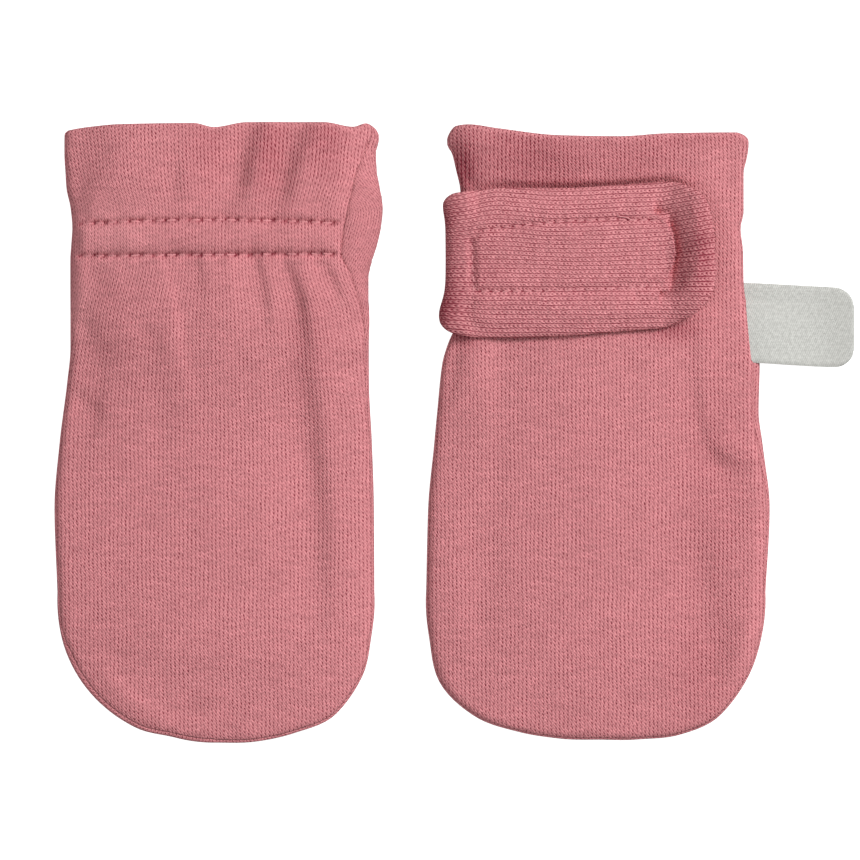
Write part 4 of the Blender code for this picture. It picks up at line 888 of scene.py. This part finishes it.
def bend_strap(points):
    """Turn the strap's root down and back under, round the mitten's side."""
    x, y, z = np.moveaxis(points, -1, 0)
    past = np.maximum(STRAP_BEND_START - x, 0.0)
    turn = past / STRAP_BEND_ARC
    radius = STRAP_BEND_RADIUS + z - STRAP_BEND_HEIGHT
    out = radius * STRAP_BEND_OUT / STRAP_BEND_RADIUS
    slack = sum(by.out * hump(y - by.y, by.spread) for by in STRAP_SLACK)
    middle = STRAP_BEND_HEIGHT - STRAP_BEND_RADIUS
    bent = np.stack([STRAP_BEND_START - (out + slack) * np.sin(turn), y,
                     middle + radius * np.cos(turn)], -1)
    return np.where((past > 0)[..., None], bent, points)


def strap_rows(x, y):
    """Rows of the knit sag in the middle and bend with the strap's edges towards its fold."""
    above, below = ramp(y, ROWS_ABOVE_Y), ramp(y, ROWS_BELOW_Y)
    bent = ramp(x, ROWS_FOLD_X) * (ROWS_RISE_AT_FOLD * above - ROWS_FALL_AT_FOLD * below)
    middle = ramp(x, ROWS_SAG_LEFT_X) * ramp(x, ROWS_SAG_RIGHT_X)
    sag = ROWS_SAG * middle * ramp(y, ROWS_SAG_Y)
    climb = ROWS_CLIMB * np.maximum(x - ROWS_CLIMB_X, 0.0) * ramp(y, ROWS_CLIMB_Y)
    return y + bent + sag - climb


def no_holes(x, y):
    """No needle hole anywhere, for the strap out of sight."""
    return np.zeros(np.shape(x))


def strap_holes(x, y):
    """How deep in a needle hole of the closed strap a place is, from 0 to 1."""
    depth = np.zeros(np.shape(x))
    for row in NEEDLE_ROWS:
        at, run = stitch_places(row.points, row.pitch)
        run = run / np.hypot(*run.T)[:, None]
        for (hole_x, hole_y), (dx, dy) in zip(at, run):
            along = (x - hole_x) * dx + (y - hole_y) * dy
            across = (y - hole_y) * dx - (x - hole_x) * dy
            depth += row.depth * needle_hole(along, across, STRAP_HOLE_HALF_WIDTH)
    return np.minimum(depth, 1.0)


def strap_painted_shade(x, y):
    """Painted shade of the needle holes and of the strap's spots, round its fold and past the tape's
    end.
    """
    return strap_holes(x, y) + stretch_and_painted_shade(STRAP_STRETCH_AND_SHADE, x, y)


def strap_skin(length, faces, place, holes):
    """The strap's closed skin over its spokes, under face, rim and upper face in one grid."""
    heights = np.linspace(length, 0.0, int(length / STRAP_ROWS) + 1)
    starts, ends = STRAP_OUTLINE.spokes(heights, STRAP_TIP_SPOKES)
    reach = np.hypot(*(starts - ends).T)
    rim = STRAP_EDGE_ROUND * (1 - np.cos(np.linspace(0.0, np.pi / 2, STRAP_RIM_STEPS + 1)))
    share = np.linspace(0.0, 1.0, STRAP_RINGS)
    insets = np.concatenate([np.broadcast_to(rim[:-1], (len(reach), STRAP_RIM_STEPS)),
                             rim[-1] + (reach[:, None] - rim[-1]) * share], 1)
    plan = starts[:, None] + (ends - starts)[:, None] * (insets / reach[:, None])[..., None]
    x, y = STRAP_TIP_CENTRE[0] - plan[..., 1], STRAP_TIP_CENTRE[1] + plan[..., 0]
    under, upper = faces(x, y)
    half = (upper - under) / 2 * rounded(insets / STRAP_EDGE_ROUND, 2.0)
    middle = (under + upper) / 2
    low = np.stack([x, y, middle - half], -1)[:, ::-1]
    high = np.stack([x, y, middle + half], -1)[:, 1:]
    flat = np.stack([x, strap_rows(x, y)], -1)
    # Painted shade for the upper face, from the holes function that is given.
    shade = holes(x, y)
    return patch(place(np.concatenate([low, high], 1)),
                 np.concatenate([flat[:, ::-1], flat[:, 1:]], 1),
                 np.concatenate([np.zeros_like(shade), shade[:, 1:]], 1))


def add_strap(node, skin, material):
    """A strap's closed skin, with the face that closes its sewn root."""
    count, columns = skin.points.shape[:2]
    near = list(range(columns))
    far = list(range((count - 1) * columns, count * columns))
    mesh = cloth_mesh(node + "_cloth", [skin], [near[:-1] + far[:0:-1]])
    return add_piece(node + "_cloth", mesh, material, [node])


def add_right_strap(form, material):
    """The strap that is closed over the right mitten."""
    def faces(x, y):
        under = lying_strap_under(form, x, y)
        return under, under + strap_thickness(form, x, y) - STRAP_HOLE_DEPTH * strap_holes(x, y)

    def place(points):
        return form.place(bend_strap(points))

    return add_strap("right_strap", strap_skin(STRAP_LENGTH, faces, place, strap_painted_shade), material)


def add_left_strap(form, material):
    """The left mitten lies on its strap, whose outer face is flat on the surface."""
    def faces(x, y):
        return np.zeros(np.shape(x)), np.full(np.shape(x), STRAP_THICK)

    def place(points):
        return form.place(points * np.array([-1.0, 1.0, 1.0]))

    return add_strap("left_strap", strap_skin(HIDDEN_STRAP_REACH, faces, place, no_holes), material)


# ---------------- label
def add_label(form, material):
    """The folded woven label comes out of the side seam and bends down to the surface."""
    low_edge, high_edge = curves(LABEL_EDGES)
    quarter = np.linspace(0.0, np.pi / 2, LABEL_END_STEPS)[1:]
    shares = np.concatenate([np.linspace(0.0, 1 - LABEL_FINE_END, LABEL_STEPS),
                             1 - LABEL_FINE_END * np.cos(quarter)])
    across = np.linspace(0.0, 1.0, LABEL_COLUMNS)
    root = np.array(LABEL_ROOT_LOW) + across[:, None] * (np.array(LABEL_ROOT_HIGH) - LABEL_ROOT_LOW)
    root_top = form.upper(*root.T)
    plan = []
    for share in shares:
        x = LABEL_ROOT_LOW[0] + (LABEL_END_X - LABEL_ROOT_LOW[0]) * share
        past = max(x - (LABEL_END_X - LABEL_CORNER), 0.0)
        corner = LABEL_CORNER - math.sqrt(max(LABEL_CORNER ** 2 - past ** 2, 0.0))
        low, high = low_edge(x) + corner, high_edge(x) - corner
        slant = (LABEL_ROOT_HIGH[0] - LABEL_ROOT_LOW[0]) * (1 - share) ** 2
        plan.append(np.stack([x + slant * across - LABEL_SEWN_IN * (1 - share) ** 8,
                              low + (high - low) * across], -1))
    plan = np.array(plan)
    x, y = plan[..., 0], plan[..., 1]
    edge = np.minimum(across, 1 - across) * LABEL_WIDTH
    full = rounded(edge / LABEL_EDGE_ROUND, 2.0)
    thick = LABEL_THICK * (LABEL_EDGE_SHARE + (1 - LABEL_EDGE_SHARE) * full) + 0 * x
    end = rounded((LABEL_END_X - x) / LABEL_EDGE_ROUND, 2.0)
    settled = smooth_step((x - root[:, 0]) / LABEL_FALL)
    under = (root_top - LABEL_THICK) * (1 - settled)
    lower = np.stack([x, y, under + LABEL_THICK * LABEL_END_LIFT * (1 - end)], -1)
    upper = np.stack([x, y, under + thick * (LABEL_END_TOP + (1 - LABEL_END_TOP) * end)], -1)
    sides = [patch(form.place(lower), plan), patch(form.place(upper), plan)]
    for border in ((0, slice(None)), (-1, slice(None)), (slice(None), 0), (slice(None), -1)):
        sides.append(patch(form.place(np.stack([lower[border], upper[border]])),
                           np.stack([plan[border], plan[border]])))
    mesh = cloth_mesh("woven_label", sides)
    mesh.set_sharp_from_angle(angle=math.radians(LABEL_SHARP_ANGLE))
    return add_piece("woven_label", mesh, material, ["right_label"])


# ---------------- nodes
def feed(tree, socket, value):
    """Join another node's output to a socket, or set the socket's own value."""
    value = getattr(value, "socket", value)
    if isinstance(value, bpy.types.NodeSocket):
        tree.links.new(value, socket)
    elif socket.type == "RGBA":
        socket.default_value = (*value, 1.0)
    else:
        socket.default_value = value


def add_node(tree, kind, place, inputs, settings):
    """A node at its place in a tree, with its settings made and its sockets fed."""
    node = tree.nodes.new(kind)
    node.location = place
    for name, value in settings.items():
        setattr(node, name, value)
    for name, value in inputs.items():
        feed(tree, node.inputs[name], value)
    return node


# ---------------- stitches
STITCH_INPUTS = (
    ("Geometry", "Geometry", None), ("Stitch Length", "Float", 1.7 * MILLIMETRE),
    ("Thread Radius", "Float", 0.2 * MILLIMETRE), ("Rise", "Float", 0.25 * MILLIMETRE),
    ("Dip", "Float", 0.35 * MILLIMETRE), ("Seed", "Int", 7), ("Thread", "Material", None))
STITCH_SWING = 0.16       # how far a stitch turns off its row at most, in radians
THREAD_SIDES = 8
SLOPE_STEP = 0.15         # how far apart the cloth's slope under a stitch is taken


def stitch_tree():
    """Sets a bent piece of thread on each point, along its run and upright on the cloth."""
    tree = bpy.data.node_groups.new("thread_stitches", "GeometryNodeTree")
    for name, kind, value in STITCH_INPUTS:
        socket = tree.interface.new_socket(name, in_out="INPUT", socket_type="NodeSocket" + kind)
        if value is not None:
            socket.default_value = value
    tree.interface.new_socket("Geometry", in_out="OUTPUT", socket_type="NodeSocketGeometry")

    def node(kind, x, y, inputs, output=0, **settings):
        return add_node(tree, kind, (x, y), inputs, settings).outputs[output]

    def scaled(value, factor, x, y):
        return node("ShaderNodeMath", x, y, {0: value, 1: factor}, operation="MULTIPLY")

    def aligned(attribute, x, before, **settings):
        """A rotation with one axis turned to a vector that each point carries."""
        vector = node("GeometryNodeInputNamedAttribute", x - 200, -350, {"Name": attribute},
                      "Attribute", data_type="FLOAT_VECTOR")
        return node("FunctionNodeAlignRotationToVector", x, -200, {"Vector": vector, **before},
                    **settings)

    entry = add_node(tree, "NodeGroupInput", (-900, 0), {}, {}).outputs
    half = scaled(entry["Stitch Length"], 0.5, -700, 300)
    back = scaled(half, -1.0, -550, 300)
    sunk = scaled(entry["Dip"], -1.0, -700, 150)
    start = node("ShaderNodeCombineXYZ", -400, 420, {"X": back, "Z": sunk})
    end = node("ShaderNodeCombineXYZ", -400, 280, {"X": half, "Z": sunk})
    top = node("ShaderNodeCombineXYZ", -400, 140, {"Z": entry["Rise"]})
    arc = node("GeometryNodeCurveQuadraticBezier", -200, 300,
               {"Resolution": THREAD_SIDES, "Start": start, "Middle": top, "End": end})
    profile = node("GeometryNodeCurvePrimitiveCircle", -200, 100,
                   {"Resolution": THREAD_SIDES, "Radius": entry["Thread Radius"]})
    thread = node("GeometryNodeCurveToMesh", 0, 250,
                  {"Curve": arc, "Profile Curve": profile, "Fill Caps": True})

    upright = aligned("up", -300, {}, axis="Z")
    turned = aligned("run", -100, {"Rotation": upright}, axis="X", pivot_axis="Z")
    swing = node("FunctionNodeRandomValue", -100, -420,
                 {2: -STITCH_SWING, 3: STITCH_SWING, "Seed": entry["Seed"]}, 1, data_type="FLOAT")
    swung = node("FunctionNodeAxisAngleToRotation", 60, -420,
                 {"Axis": (0.0, 0.0, 1.0), "Angle": swing})
    turn = node("FunctionNodeRotateRotation", 200, -250,
                {"Rotation": turned, "Rotate By": swung}, rotation_space="LOCAL")
    stitches = node("GeometryNodeInstanceOnPoints", 350, 0,
                    {"Points": entry["Geometry"], "Instance": thread, "Rotation": turn})
    real = node("GeometryNodeRealizeInstances", 520, 0, {"Geometry": stitches})
    smooth = node("GeometryNodeSetShadeSmooth", 620, 0, {"Geometry": real})
    finish = node("GeometryNodeSetMaterial", 740, 0,
                  {"Geometry": smooth, "Material": entry["Thread"]})
    add_node(tree, "NodeGroupOutput", (900, 0), {0: finish}, {})
    return tree


def stitch_places(path, pitch):
    """Middles and directions of the stitches along a path of plan points."""
    path = np.array(path, float)
    walked = np.concatenate([[0.0], np.cumsum(np.hypot(*np.diff(path, axis=0).T))])
    middles = np.arange(pitch / 2, walked[-1], pitch)

    def at(lengths):
        return np.stack([np.interp(lengths, walked, path[:, axis]) for axis in range(2)], -1)

    return at(middles), at(middles + 0.1) - at(middles - 0.1)


def on_cloth(height, place, at, run):
    """Points, runs and upright directions of stitches that lie on a cloth's height."""
    x, y = at.T

    def spot(dx, dy):
        return place(np.stack([x + dx, y + dy, height(x + dx, y + dy)], -1))

    middle = spot(0.0, 0.0)
    slope_x = spot(SLOPE_STEP, 0.0) - spot(-SLOPE_STEP, 0.0)
    slope_y = spot(0.0, SLOPE_STEP) - spot(0.0, -SLOPE_STEP)
    up = np.cross(slope_x, slope_y)
    up /= np.linalg.norm(up, axis=1)[:, None]
    runs = run[:, :1] * slope_x + run[:, 1:] * slope_y
    runs /= np.linalg.norm(runs, axis=1)[:, None]
    return middle + up * STITCH_LIFT * MILLIMETRE, runs, up


def add_stitches(name, rows_of_stitches, tree, thread, sizes):
    """A joined mesh of thread over several rows' points, runs and upright directions."""
    points, runs, ups = (np.concatenate(parts) for parts in zip(*rows_of_stitches))
    mesh = bpy.data.meshes.new(name + "_points")
    mesh.from_pydata(points.tolist(), [], [])
    for attribute, values in (("run", runs), ("up", ups)):
        layer = mesh.attributes.new(attribute, "FLOAT_VECTOR", "POINT")
        layer.data.foreach_set("vector", values.astype(np.float32).ravel())
    holder = new_object(name + "_points", mesh)
    modifier = holder.modifiers.new("stitches", "NODES")
    modifier.node_group = tree
    values = {size: length * MILLIMETRE for size, length in sizes.items()} | {"Thread": thread}
    for item in tree.interface.items_tree:
        if item.in_out == "INPUT" and item.name in values:
            modifier[item.identifier] = values[item.name]
    depsgraph = bpy.context.evaluated_depsgraph_get()
    made = bpy.data.meshes.new_from_object(holder.evaluated_get(depsgraph))
    made.name = name
    bpy.data.objects.remove(holder)
    return add_piece(name, made, thread)


# ---------------- materials
FULL_TURN = 2 * math.pi


class Amount:
    """A number that varies over a finish, so that sums of it can be written plainly."""

    def __init__(self, finish, socket):
        self.finish, self.socket = finish, socket

    def __add__(self, other):
        return self.finish.math("ADD", self, other)

    def __sub__(self, other):
        return self.finish.math("SUBTRACT", self, other)

    def __rsub__(self, other):
        return self.finish.math("SUBTRACT", other, self)

    def __mul__(self, other):
        return self.finish.math("MULTIPLY", self, other)

    def __truediv__(self, other):
        return self.finish.math("DIVIDE", self, other)


class Finish:
    """Short ways to make and join the nodes of one material."""

    def __init__(self, name):
        self.material = bpy.data.materials.new(name)
        self.material.use_nodes = True
        self.tree = self.material.node_tree
        self.count = 0

    def outputs(self, kind, inputs, **settings):
        """All outputs of a new node, which takes the next free place."""
        self.count += 1
        place = (-2400 + 160 * (self.count % 14), 900 - 220 * (self.count // 14))
        return add_node(self.tree, kind, place, inputs, settings).outputs

    def node(self, kind, inputs, output=0, **settings):
        return Amount(self, self.outputs(kind, inputs, **settings)[output])

    def math(self, operation, *values):
        return self.node("ShaderNodeMath", dict(enumerate(values)), operation=operation)

    def noise(self, vector, scale, detail=2.0, roughness=0.5):
        return self.node("ShaderNodeTexNoise", {"Vector": vector, "Scale": scale, "Detail": detail,
                                                "Roughness": roughness}, "Fac")

    def span(self, *limits):
        """A value's span from low to high, stretched to another span."""
        return self.node("ShaderNodeMapRange", dict(enumerate(limits)))

    def mix(self, share, a, b, blend="MIX"):
        return self.node("ShaderNodeMix", {0: share, 6: a, 7: b}, 2, data_type="RGBA",
                         blend_type=blend)

    def bump(self, height, distance, strength):
        return self.node("ShaderNodeBump", {"Height": height, "Strength": strength,
                                            "Distance": distance * MILLIMETRE}, "Normal")

    def grey(self, value):
        return self.node("ShaderNodeCombineColor", {0: value, 1: value, 2: value})

    def vector(self, x, y):
        return self.node("ShaderNodeCombineXYZ", {0: x, 1: y})

    def parts(self, vector):
        outputs = self.outputs("ShaderNodeSeparateXYZ", {0: vector})
        return [Amount(self, socket) for socket in outputs]

    def cloth_place(self):
        """Where a point lies on the flat cloth."""
        return self.node("ShaderNodeUVMap", {}, uv_map="cloth")

    def place(self):
        return self.node("ShaderNodeTexCoord", {}, "Object")

    def wave(self, value, length):
        """A sine wave of a length in millimetres."""
        return self.math("SINE", value * (FULL_TURN / (length * MILLIMETRE)))

    def bell(self, squares):
        """A hump of 1 where the sum of squares is 0."""
        return self.math("EXPONENT", squares * -1.0)

    def square(self, value, half):
        ratio = value * (1.0 / half)
        return ratio * ratio

    def done(self, **values):
        """Feed the shader's own sockets; gives the material."""
        shader = self.tree.nodes["Principled BSDF"]
        for name, value in values.items():
            feed(self.tree, shader.inputs[name.replace("_", " ")], value)
        return self.material


PINK_LIGHT = (0.865, 0.364, 0.383)
PINK_DEEP = (0.235, 0.031, 0.048)
SPOT_SCATTER = (0.22, 0.26)      # how far a loop's opening strays, as shares of its width and height
GLOW_SPREAD = (2.3, 1.7)         # the pale yarn round an opening, in widths and lengths of it
GLOW = 0.22
LEG_SLANT = 1.3
LEG_TONE = 0.18
LINE_HALF_WIDTH = 0.13           # of the furrow between two columns, as a share of a column
COLUMN_HALF_WIDTH = 0.15
COLUMN_OPENS = 0.5
YARN_TONE = 1.05
# How far the painted shade of the hole attribute darkens the knit.
PAINTED_SHADE_TONE = 0.80

Knit = namedtuple("Knit", "wale course sideways stagger lean spot_width spot_length spots "
                          "lines columns palest deepest evening")
BODY_KNIT = Knit(
    wale=0.82, course=0.765, sideways=False, stagger=0.5, lean=0.30, spot_width=0.135,
    spot_length=0.26, spots=1.0, lines=0.0, columns=0.14, palest=-0.60, deepest=0.86, evening=0.20)
BACK_KNIT = BODY_KNIT._replace(wale=0.74, course=0.64, lean=-0.30, spot_width=0.12, spot_length=0.25)
STRAP_KNIT = Knit(
    wale=0.91, course=0.83, sideways=True, stagger=0.5, lean=0.15, spot_width=0.190,
    spot_length=0.210, spots=1.0, lines=0.95, columns=0.0, palest=-0.46, deepest=0.86, evening=0.42)


def knit_material(name, knit):
    """Interlock: columns of slanting loops with a dark opening in each, half a row apart."""
    s = Finish(name)
    cloth = s.cloth_place()
    u, v, _ = s.parts(cloth)
    if knit.sideways:
        u, v = v, u
    drift = s.noise(cloth, 70.0, 3.0) - 0.5
    wander = s.noise(cloth, 900.0, 1.0) - 0.5
    u = u * (1 / MILLIMETRE) + wander * 0.22 + drift * 0.9
    v = v * (1 / MILLIMETRE) + drift * 1.3
    wales = u / knit.wale
    number = s.math("FLOOR", wales)
    across = wales - number - 0.5
    courses = v / knit.course + s.math("FLOORED_MODULO", number, 2.0) * knit.stagger
    row = s.math("FLOOR", courses)
    along = courses - row - 0.5

    chance = s.node("ShaderNodeTexWhiteNoise", {"Vector": s.vector(number, row)}, "Color")
    first, second, third = s.parts(chance)
    spot_x = ((first - 0.5) * SPOT_SCATTER[0] + across) * knit.wale
    spot_y = ((second - 0.5) * SPOT_SCATTER[1] + along) * knit.course
    leaned = spot_y * knit.lean + spot_x
    spot = s.bell(s.square(leaned, knit.spot_width) + s.square(spot_y, knit.spot_length))
    glow = s.bell(s.square(leaned, knit.spot_width * GLOW_SPREAD[0])
                  + s.square(spot_y, knit.spot_length * GLOW_SPREAD[1]))
    side = s.math("ABSOLUTE", across)
    legs = (s.math("COSINE", (courses - side * LEG_SLANT) * FULL_TURN)
            * s.math("SINE", side * FULL_TURN))
    line = s.bell(s.square(0.5 - side, LINE_HALF_WIDTH))
    column_middle = s.bell(s.square(across * knit.wale, COLUMN_HALF_WIDTH))

    streaky = s.span(s.noise(s.vector(u * 0.5, v * 0.16), 1.0), 0.32, 0.68, 0.62, 1.18)
    strength = streaky * s.span(third, 0.0, 1.0, 0.70, 1.15)
    yarn = s.noise(s.vector(v * 0.45 + u, v * 0.45), 3.4, 2.0, 0.6) - 0.5
    # The painted shade that the cloth carries in its hole attribute, which darkens the knit.
    hole = s.node("ShaderNodeAttribute", {}, "Fac", attribute_name="hole")
    dark = spot * knit.spots * strength + (0.9 - streaky) * knit.evening - glow * GLOW
    dark = dark - legs * LEG_TONE + yarn * YARN_TONE + hole * PAINTED_SHADE_TONE
    height = legs * 0.4 - spot + yarn * 0.7
    if knit.lines:
        dark = dark + line * knit.lines * strength
        height = height - line * 0.7
    # Columns are darker in their middles, and more so where the painted shade of the hole attribute
    # lies.
    if knit.columns:
        dark = dark + column_middle * (hole * COLUMN_OPENS + knit.columns) * streaky

    colour = s.mix(s.span(dark, knit.palest, knit.deepest, 0.0, 1.0), PINK_LIGHT, PINK_DEEP)
    tone = (s.span(s.noise(s.vector(u * 0.20, v * 0.95), 1.0), 0.3, 0.7, -0.085, 0.085)
            + s.span(s.noise(cloth, 45.0, 3.0), 0.35, 0.65, 0.975, 1.025))
    return s.done(Base_Color=s.mix(1.0, colour, s.grey(tone), "MULTIPLY"), Roughness=0.9,
                  Normal=s.bump(height, 0.22, 0.6), Specular_IOR_Level=0.06, Sheen_Weight=0.05,
                  Sheen_Roughness=0.5, Sheen_Tint=(1.0, 0.55, 0.58))


def thread_material():
    """Matt polyester thread with a twist."""
    s = Finish("pink_thread")
    grain = s.noise(s.place(), 5200.0)
    colour = s.mix(s.span(grain, 0.3, 0.7, 0.0, 1.0), (0.58, 0.225, 0.24), (0.72, 0.30, 0.32))
    return s.done(Base_Color=colour, Roughness=0.6, Normal=s.bump(grain, 0.1, 0.5))


def label_material():
    """Woven polyester tape: fine slanting floats over close weft rows."""
    s = Finish("woven_label_tape")
    flat = s.cloth_place()
    x, y, _ = s.parts(flat)
    weave = s.wave(y, 0.31) * 0.3 + s.wave(y * -0.42 + x, 0.43) * 0.7
    tone = weave * 0.22 + s.noise(flat, 1500.0)
    colour = s.mix(s.span(tone, 0.2, 0.8, 0.0, 1.0), (0.39, 0.39, 0.366), (0.575, 0.577, 0.545))
    return s.done(Base_Color=colour, Roughness=0.6, Normal=s.bump(weave, 0.06, 0.4),
                  Specular_IOR_Level=0.3, Sheen_Weight=0.1)


def tape_material(name, tufts, strength):
    """Fastening tape: a dense field of small hooks or loops."""
    s = Finish(name)
    distance = s.node("ShaderNodeTexVoronoi", {"Vector": s.place(), "Scale": tufts}, "Distance")
    colour = s.mix(s.span(distance, 0.0, 0.7, 0.0, 1.0), (0.52, 0.19, 0.205), (0.30, 0.09, 0.10))
    return s.done(Base_Color=colour, Roughness=0.75, Normal=s.bump(distance, 0.3, strength))


def elastic_material():
    """Braided elastic: ribs along its length crossed by fine weft."""
    s = Finish("braided_elastic")
    x, y, _ = s.parts(s.place())
    ribs = s.wave(y, 0.9)
    braid = ribs * s.wave(x, 0.5) * 0.4 + ribs * 0.6
    colour = s.mix(s.span(braid, -1.0, 1.0, 0.0, 1.0), (0.66, 0.65, 0.62), (0.86, 0.85, 0.82))
    return s.done(Base_Color=colour, Roughness=0.7, Normal=s.bump(braid, 0.2, 0.5))


def floor_material():
    """Plain white board with a faint grain, bright where the camera sees it; a faint glow of painted
    light from it also lights the cloth from below.
    """
    s = Finish("white_board")
    tone = s.span(s.noise(s.place(), 30.0), 0.3, 0.7, 0.0, 1.0)
    seen = s.node("ShaderNodeLightPath", {}, "Is Camera Ray")
    return s.done(Base_Color=s.mix(tone, (0.40, 0.40, 0.40), (0.43, 0.43, 0.43)), Roughness=0.9,
                  Emission_Color=(1.0, 1.0, 1.0), Emission_Strength=seen * 0.85 + 0.12)


# ---------------- camera, floor and light
PICTURE_WIDTH = 172.0     # millimetres across the picture
PICTURE_CENTRE = (-4.8, 0.5)
CAMERA_HEIGHT = 2400.0
FOCUS_HEIGHT = 4.0
SENSOR = 36.0
FLOOR_HALF = 1.5          # in metres, as the lamps' distances are
FLOOR_DROP = 0.00005      # keeps the board clear of the cloth that lies on it
ROOM_LIGHT = 0.25


def add_camera():
    data = bpy.data.cameras.new("long_lens")
    data.sensor_width = SENSOR
    data.lens = SENSOR * (CAMERA_HEIGHT - FOCUS_HEIGHT) / PICTURE_WIDTH
    data.clip_start, data.clip_end = 0.05, 20.0
    camera = new_object("long_lens", data)
    camera.location = Vector((*PICTURE_CENTRE, CAMERA_HEIGHT)) * MILLIMETRE
    bpy.context.scene.camera = camera


Lamp = namedtuple("Lamp", "name azimuth elevation distance size power")
LAMPS = (
    Lamp("key_softbox", 32.0, 44.0, 2.4, 1.0, 57.0),
    Lamp("overhead_softbox", 200.0, 70.0, 2.2, 1.6, 13.0))


def add_lamp(lamp):
    """A square softbox aimed at the middle of the pair."""
    data = bpy.data.lights.new(lamp.name, "AREA")
    data.shape = "SQUARE"
    data.size = lamp.size
    data.energy = lamp.power
    turn, rise = math.radians(lamp.azimuth), math.radians(lamp.elevation)
    away = Vector((math.cos(turn) * math.cos(rise), math.sin(turn) * math.cos(rise),
                   math.sin(rise)))
    light = new_object(lamp.name, data)
    light.location = away * lamp.distance
    light.rotation_euler = away.to_track_quat("Z", "Y").to_euler()


def add_stage():
    corners = [(x * FLOOR_HALF, y * FLOOR_HALF, 0.0) for x, y in ((-1, -1), (1, -1), (1, 1), (-1, 1))]
    mesh = bpy.data.meshes.new("floor")
    mesh.from_pydata(corners, [], [(0, 1, 2, 3)])
    mesh.materials.append(floor_material())
    floor = new_object("floor", mesh)
    floor.location.z = -FLOOR_DROP
    world = bpy.data.worlds.new("studio")
    world.use_nodes = True
    background = world.node_tree.nodes["Background"]
    background.inputs["Color"].default_value = (1.0, 1.0, 1.0, 1.0)
    background.inputs["Strength"].default_value = ROOM_LIGHT
    bpy.context.scene.world = world
    bpy.context.scene.view_settings.view_transform = "Standard"
    for lamp in LAMPS:
        add_lamp(lamp)


# ---------------- the pair
def channel_stitches(form, tree, thread):
    """Two rows of topstitching hold the elastic in its channel."""
    every = []
    for row in (channel_low, channel_high):
        left = -form.outline.left(row(STITCH_LEFT_END)) + STITCH_MARGIN
        right_y = row(STITCH_RIGHT_END)
        right = form.outline.right(right_y) - form.seam_right(right_y) - STITCH_MARGIN
        first = math.ceil(left / STITCH_PITCH) * STITCH_PITCH
        last = math.floor(right / STITCH_PITCH) * STITCH_PITCH
        across = np.linspace(first, last, STITCH_ROW_POINTS)
        at, run = stitch_places(np.stack([across, row(across)], 1), STITCH_PITCH)
        every.append(on_cloth(form.upper, form.place, at, run))
    return add_stitches("channel_stitches", every, tree, thread,
                        {"Stitch Length": 1.6, "Thread Radius": 0.20, "Rise": 0.02, "Dip": 0.36})


def strap_stitches(form, tree, thread):
    """The hook tape's stitched rectangle, with a backstitched knot on its upper side."""
    def height(x, y):
        return lying_strap_under(form, x, y) + strap_thickness(form, x, y)

    every = []
    for row in NEEDLE_ROWS:
        at, run = stitch_places(row.points, row.pitch)
        at = at + run / np.hypot(*run.T)[:, None] * row.pitch / 2
        every.append(on_cloth(height, form.place, at, run))
    return add_stitches("strap_stitches", every, tree, thread,
                        {"Stitch Length": 1.5, "Thread Radius": 0.14, "Rise": 0.08, "Dip": 0.26})


def finish_tapes_and_elastic():
    """The fastening tapes and elastics keep their solids and get their real finish."""
    looks = {
        "hook_tape": (tape_material("hook_tape_finish", 1500.0, 0.9), "fastening_tape"),
        "loop_tape": (tape_material("loop_tape_finish", 2600.0, 0.5), "fastening_tape"),
        "elastic": (elastic_material(), "elastic")}
    for side in ("left", "right"):
        for part, (material, slot) in looks.items():
            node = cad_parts[f"{side}_{part}"]
            node.data.materials.clear()
            node.data.materials.append(material)


def build():
    left, right = Form(LEFT), Form(RIGHT)
    knit = knit_material("pink_interlock", BODY_KNIT)
    strap_knit = knit_material("pink_strap_interlock", STRAP_KNIT)
    thread = thread_material()
    tree = stitch_tree()
    left_palm = panel("left_palm_cloth", left, True, TOP_GRAIN, knit, "left_palm_panel")
    left_back = panel("left_back_cloth", left, False, UNDER_GRAIN,
                      knit_material("pink_back_interlock", BACK_KNIT), "left_back_panel")
    right_back = panel("right_back_cloth", right, True, TOP_GRAIN, knit, "right_back_panel")
    right_palm = panel("right_palm_cloth", right, False, UNDER_GRAIN, knit, "right_palm_panel")
    right_strap = add_right_strap(right, strap_knit)
    left_strap = add_left_strap(left, strap_knit)
    label = add_label(right, label_material())
    channel = channel_stitches(left, tree, thread)
    rectangle = strap_stitches(right, tree, thread)
    finish_tapes_and_elastic()


add_stage()
add_camera()
build()
